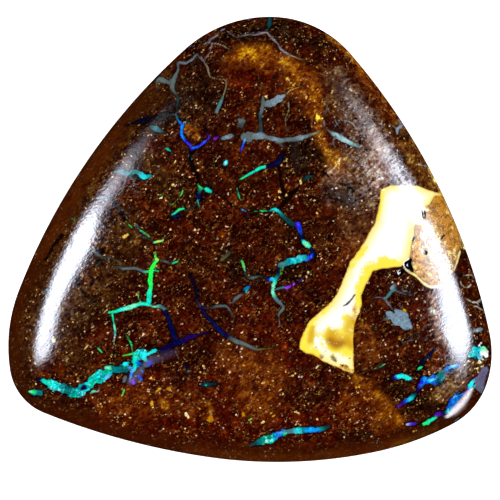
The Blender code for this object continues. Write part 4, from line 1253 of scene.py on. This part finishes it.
def addSeams(base, place, fine, medium):
    # Seams with wavering edges and a dark line round the bright ones. Small cells inside them change
    # their brightness and hue, the widest have pale flecks, and the dull ones are thin in places.
    width = layer(place, "seamWidth")
    wide = remap(width, 0.25, 0.6, 0.1, 1)
    wobble = plus(vary(fine, -0.035, 0.035), vary(medium, -0.03, 0.03))
    wobble = times(wobble, remap(width, 0.06, 0.3, 0.3, 1))
    bulge = times(vary(grainNoise(place, 2.8, 1, 0.5), -0.12, 0.12), wide)
    gap = plus(plus(layer(place, "seamGap"), wobble), bulge)
    flash = layer(place, "seamTone", "Alpha")
    tone = layer(place, "seamTone", "Color")
    shade = times(remap(gap, stretch(width, 0.05, 0.16, 0.05, 0.4), 0.0, 0, 0.9), stretch(flash, 0.45, 1))
    base = brighten(base, minus(1, shade))
    _, one, two = cells(place, 3.4)
    _, fineOne, fineTwo = cells(place, 7.0)
    uneven = times(stretch(one, 0.4, 1.1), stretch(fineOne, 0.35, 1.2))
    uneven = plus(times(minus(uneven, 1), times(flash, wide)), 1)
    bright = times(uneven, vary(fine, 0.7, 1.3))
    bright = times(bright, remap(gap, 0, -0.07, remap(flash, 0, 1, 0.4, 0.7), 1.15))
    hue = plus(stretch(two, -0.02, 0.02), stretch(fineTwo, 0.48, 0.52))
    opal = brighten(addNode("ShaderNodeHueSaturation", {"Hue": hue, "Color": tone}).outputs[0], bright)
    lightness = addNode("ShaderNodeRGBToBW", {"Color": tone}).outputs[0]
    fleck = times(compute("GREATER_THAN", cells(place, 11)[1], 0.93), times(wide, 0.5))
    opal = mixTones(times(times(fleck, flash), remap(lightness, 0.1, 0.4)), opal, "opalFleck")
    solid = larger(flash, remap(medium, 0.3, 0.5, 0.7, 1))
    return mixTones(times(remap(gap, 0.02, -0.03), solid), base, opal), wobble


def stoneMaterial():
    material, tree = newMaterial("polishedOpalInIronstone")
    shader = tree.nodes["Principled BSDF"]
    place = placeInMm(tree)
    slanted = placeInMm(tree, stoneLook["slant"], stoneLook["slantStretch"])
    x, y = addNode("ShaderNodeSeparateXYZ", {0: place}).outputs[:2]
    fine = grainNoise(place, 9, 2)
    medium = grainNoise(place, 2.6, 3, 0.6)
    rimDistance = layer(place, "rimDistance")
    base, sugarAndHaze = addGrains(ironstoneTone(place, medium), place, slanted, fine, x, y, rimDistance)
    base, inTan = addPatches(base, place, fine, medium)
    base, wobble = addSeams(base, place, fine, medium)

    # veils over the seams, one of them a painted glare, then glints, painted shade as a dark line along the
    # rim, most on the left, and the pits
    veil = times(layer(place, "veilTone", "Alpha"), stretch(fine, 0.75, 1.1, 0.3, 0.6))
    base = mixTones(compute("MINIMUM", veil, 1), base, layer(place, "veilTone", "Color"))
    chipped = vary(grainNoise(place, 6.5, 2, 0.6), -0.04, 0.09)
    glintTone = brighten(layer(place, "glintTone", "Color"), remap(fine, 0.3, 0.65, 0.55, 1.2))
    base = mixTones(remap(plus(layer(place, "glintGap"), chipped), 0.03, -0.04), base, glintTone)
    # painted shade: the rim darkened within a tenth of a millimetre of its edge, more towards the left
    rimShadeShare = times(remap(rimDistance, 0.1, 0.02), remap(x, 4, -6, 0.2, 0.85))
    base = mixTones(rimShadeShare, base, "paintedRimShade")
    pit = remap(plus(layer(place, "pitGap"), times(wobble, 0.5)), 0.03, -0.02)
    tree.links.new(mixTones(pit, base, "pit"), shader.inputs["Base Color"])

    coarse = compute("MULTIPLY_ADD", sugarAndHaze, 0.35, stoneLook["grainRoughness"])
    gloss = remap(grainNoise(slanted, 5, 2, 0.6), 0.47, 0.62, stoneLook["polish"], coarse)
    ground = times(layer(place, "ground"), stoneLook["groundRoughness"])
    gloss = plus(gloss, plus(ground, times(inTan, remap(fine, 0.4, 0.6, 0.3, 0))))
    gloss = times(gloss, remap(pit, 0, 1, 1, 0.4))
    tree.links.new(compute("MINIMUM", gloss, 0.9), shader.inputs["Roughness"])
    shader.inputs["IOR"].default_value = stoneLook["ior"]
    bump = {"Strength": 1.0, "Distance": stoneLook["grainBump"], "Height": grainNoise(slanted, 7.5, 2)}
    tree.links.new(addNode("ShaderNodeBump", bump).outputs[0], shader.inputs["Normal"])
    print("stone material:", len(tree.nodes), "nodes")
    return material


# ---- floor, lights and camera

studio = {
    "floorSize": 6000, "floorTone": (250, 250, 250), "floorRoughness": 0.9, "floorGlow": 0.8,
    "worldTone": (252, 252, 252), "worldStrength": 0.75,
    "lens": 600, "filmWidth": 36, "frameWidth": 30.99, "lookAt": (0, -0.65), "focusHeight": 2.0,
    "nearest": 10, "farthest": 10000,
    "lightDistance": 500, "boxTone": (0.82, 0.89, 1.04), "panelGrid": 61,
    "lowFade": 0.08, "highFade": 0.11, "lowMargin": 0.35, "highMargin": 0.45,
    "softSize": 800, "softHeight": 900, "softPower": 4.0,
}

# The glow of the two panels beside the stone, in rows: y, brightness, lowest z and highest z. The y and z
# are over the panel's distance, so they are the directions in which the polished dome shows them.
leftGlow = (
    (-.4, 0, 1, 1.2), (-.3, 8, 1, 1.18), (-.2, 26, .98, 1.2), (-.1, 34, .97, 1.21), (.02, 34, 1, 1.22),
    (.12, 32, .99, 1.25), (.24, 32, .98, 1.27), (.35, 36, .92, 1.26), (.4, 38, .91, 1.24),
    (.44, 40, .9, 1.2), (.47, 40, .9, 1.14), (.495, 36, .92, 1.11), (.52, 26, .95, 1.1),
    (.56, 14, 1.01, 1.14), (.6, 10, 1.06, 1.2), (.65, 8, 1.06, 1.23), (.71, 5, 1.02, 1.22),
    (.75, 2.6, 1.1, 1.28), (.81, 1.8, 1.18, 1.32), (.88, 1, 1.2, 1.28), (.95, 0, 1.2, 1.28),
)
rightGlow = (
    (-.5, 0, .9, 1.2), (-.42, 3, .95, 1.2), (-.33, 12, .98, 1.16), (-.18, 30, .92, 1.24),
    (-.02, 30, .75, 1.31), (.1, 30, .67, 1.22), (.22, 30, .68, 1.14), (.25, 30, .68, 1.1),
    (.28, 25, .7, 1.05), (.31, 20, .78, 1), (.41, 32, .74, 1.02), (.47, 28, .78, 1.05), (.53, 17, .84, 1.1),
    (.57, 12, .9, 1.13), (.62, 7.5, .93, 1.16), (.66, 5.5, .96, 1.16), (.7, 4, .98, 1.14),
    (.74, 1.6, 1, 1.16), (.78, .4, 1.02, 1.16), (.83, 0, 1.02, 1.16),
)


def addFloor(look):
    half = look["floorSize"] / 2 * mm
    mesh = bpy.data.meshes.new("paleFloor")
    corners = [(-half, -half, 0), (half, -half, 0), (half, half, 0), (-half, half, 0)]
    mesh.from_pydata(corners, [], [(0, 1, 2, 3)])
    material, tree = newMaterial("palePaper")
    shader = tree.nodes["Principled BSDF"]
    for name in ("Base Color", "Emission Color"):
        shader.inputs[name].default_value = (*linearColour(look["floorTone"]), 1)
    shader.inputs["Roughness"].default_value = look["floorRoughness"]
    shader.inputs["Emission Strength"].default_value = look["floorGlow"]
    mesh.materials.append(material)
    floor = placeInScene("paleFloor", mesh)
    floor.visible_glossy = False


def addSoftbox(look, name, side, rows):
    # An upright glowing panel beside the stone. Each point's brightness is its row's, times e to the
    # power -t squared, where t is how far it lies past the row's lowest or highest z over the fade. It
    # only makes the bright streaks: the soft light from above does the lighting.
    distance = look["lightDistance"] * mm
    y, radiance, low, high = np.array(rows).T
    count = look["panelGrid"]
    across = np.repeat(np.linspace(y[0], y[-1], count), count)
    up = np.tile(np.linspace(low.min() - look["lowMargin"], high.max() + look["highMargin"], count), count)
    below = np.clip(np.interp(across, y, low) - up, 0, None) / look["lowFade"]
    above = np.clip(up - np.interp(across, y, high), 0, None) / look["highFade"]
    glow = np.interp(across, y, radiance) * np.exp(-below ** 2 - above ** 2)
    points = np.stack((np.zeros_like(up), across, up), axis=-1) * distance
    mesh = bpy.data.meshes.new(name)
    mesh.from_pydata(points.tolist(), [], gridFaces(count)[0].tolist())
    storeNumbers(mesh, "glow", glow)
    material, tree = newMaterial(name)
    tree.nodes.clear()
    strength = addNode("ShaderNodeAttribute", {}, tree, attribute_name="glow").outputs["Fac"]
    light = addNode("ShaderNodeEmission", {"Color": (*look["boxTone"], 1), "Strength": strength})
    addNode("ShaderNodeOutputMaterial", {"Surface": light.outputs[0]})
    mesh.materials.append(material)
    panel = placeInScene(name, mesh, (side * distance, 0, 0))
    panel.visible_camera = False
    panel.visible_diffuse = False
    panel.visible_shadow = False


def addSoftLight(look):
    # A wide light overhead, not mirrored in the polish.
    light = bpy.data.lights.new("softLight", "AREA")
    light.size = look["softSize"] * mm
    light.energy = look["softPower"]
    lamp = placeInScene("softLight", light, (0, 0, look["softHeight"] * mm))
    lamp.visible_camera = False
    lamp.visible_glossy = False


def addWorld(look):
    # Pale all round for the camera and for soft fill, but not mirrored in the polish.
    world = bpy.data.worlds.new("paleRoom")
    world.use_nodes = True
    backdrop = world.node_tree.nodes["Background"]
    backdrop.inputs["Color"].default_value = (*linearColour(look["worldTone"]), 1)
    backdrop.inputs["Strength"].default_value = look["worldStrength"]
    world.cycles_visibility.glossy = False
    bpy.context.scene.world = world


def addCamera(look):
    # Straight above, far off with a long lens, so wide that the frame spans frameWidth at the girdle.
    camera = bpy.data.cameras.new("camera")
    camera.lens = look["lens"]
    camera.sensor_width = look["filmWidth"]
    camera.clip_start = look["nearest"] * mm
    camera.clip_end = look["farthest"] * mm
    height = look["focusHeight"] + look["frameWidth"] * look["lens"] / look["filmWidth"]
    bpy.context.scene.camera = placeInScene("camera", camera, np.array((*look["lookAt"], height)) * mm)


stone, stonePoints, stoneRim, stoneBackStart = buildStone(stoneForm)
markStone(stone.data, stonePoints, stoneRim, stoneBackStart)
stone.data.materials.append(stoneMaterial())
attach(stone, "root")
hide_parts("boulder_opal")

addFloor(studio)
addWorld(studio)
addSoftLight(studio)
addSoftbox(studio, "leftSoftbox", -1, leftGlow)
addSoftbox(studio, "rightSoftbox", 1, rightGlow)
addCamera(studio)
bpy.context.scene.view_settings.view_transform = "Standard"
print("studio: floor, soft light, two softboxes and camera")
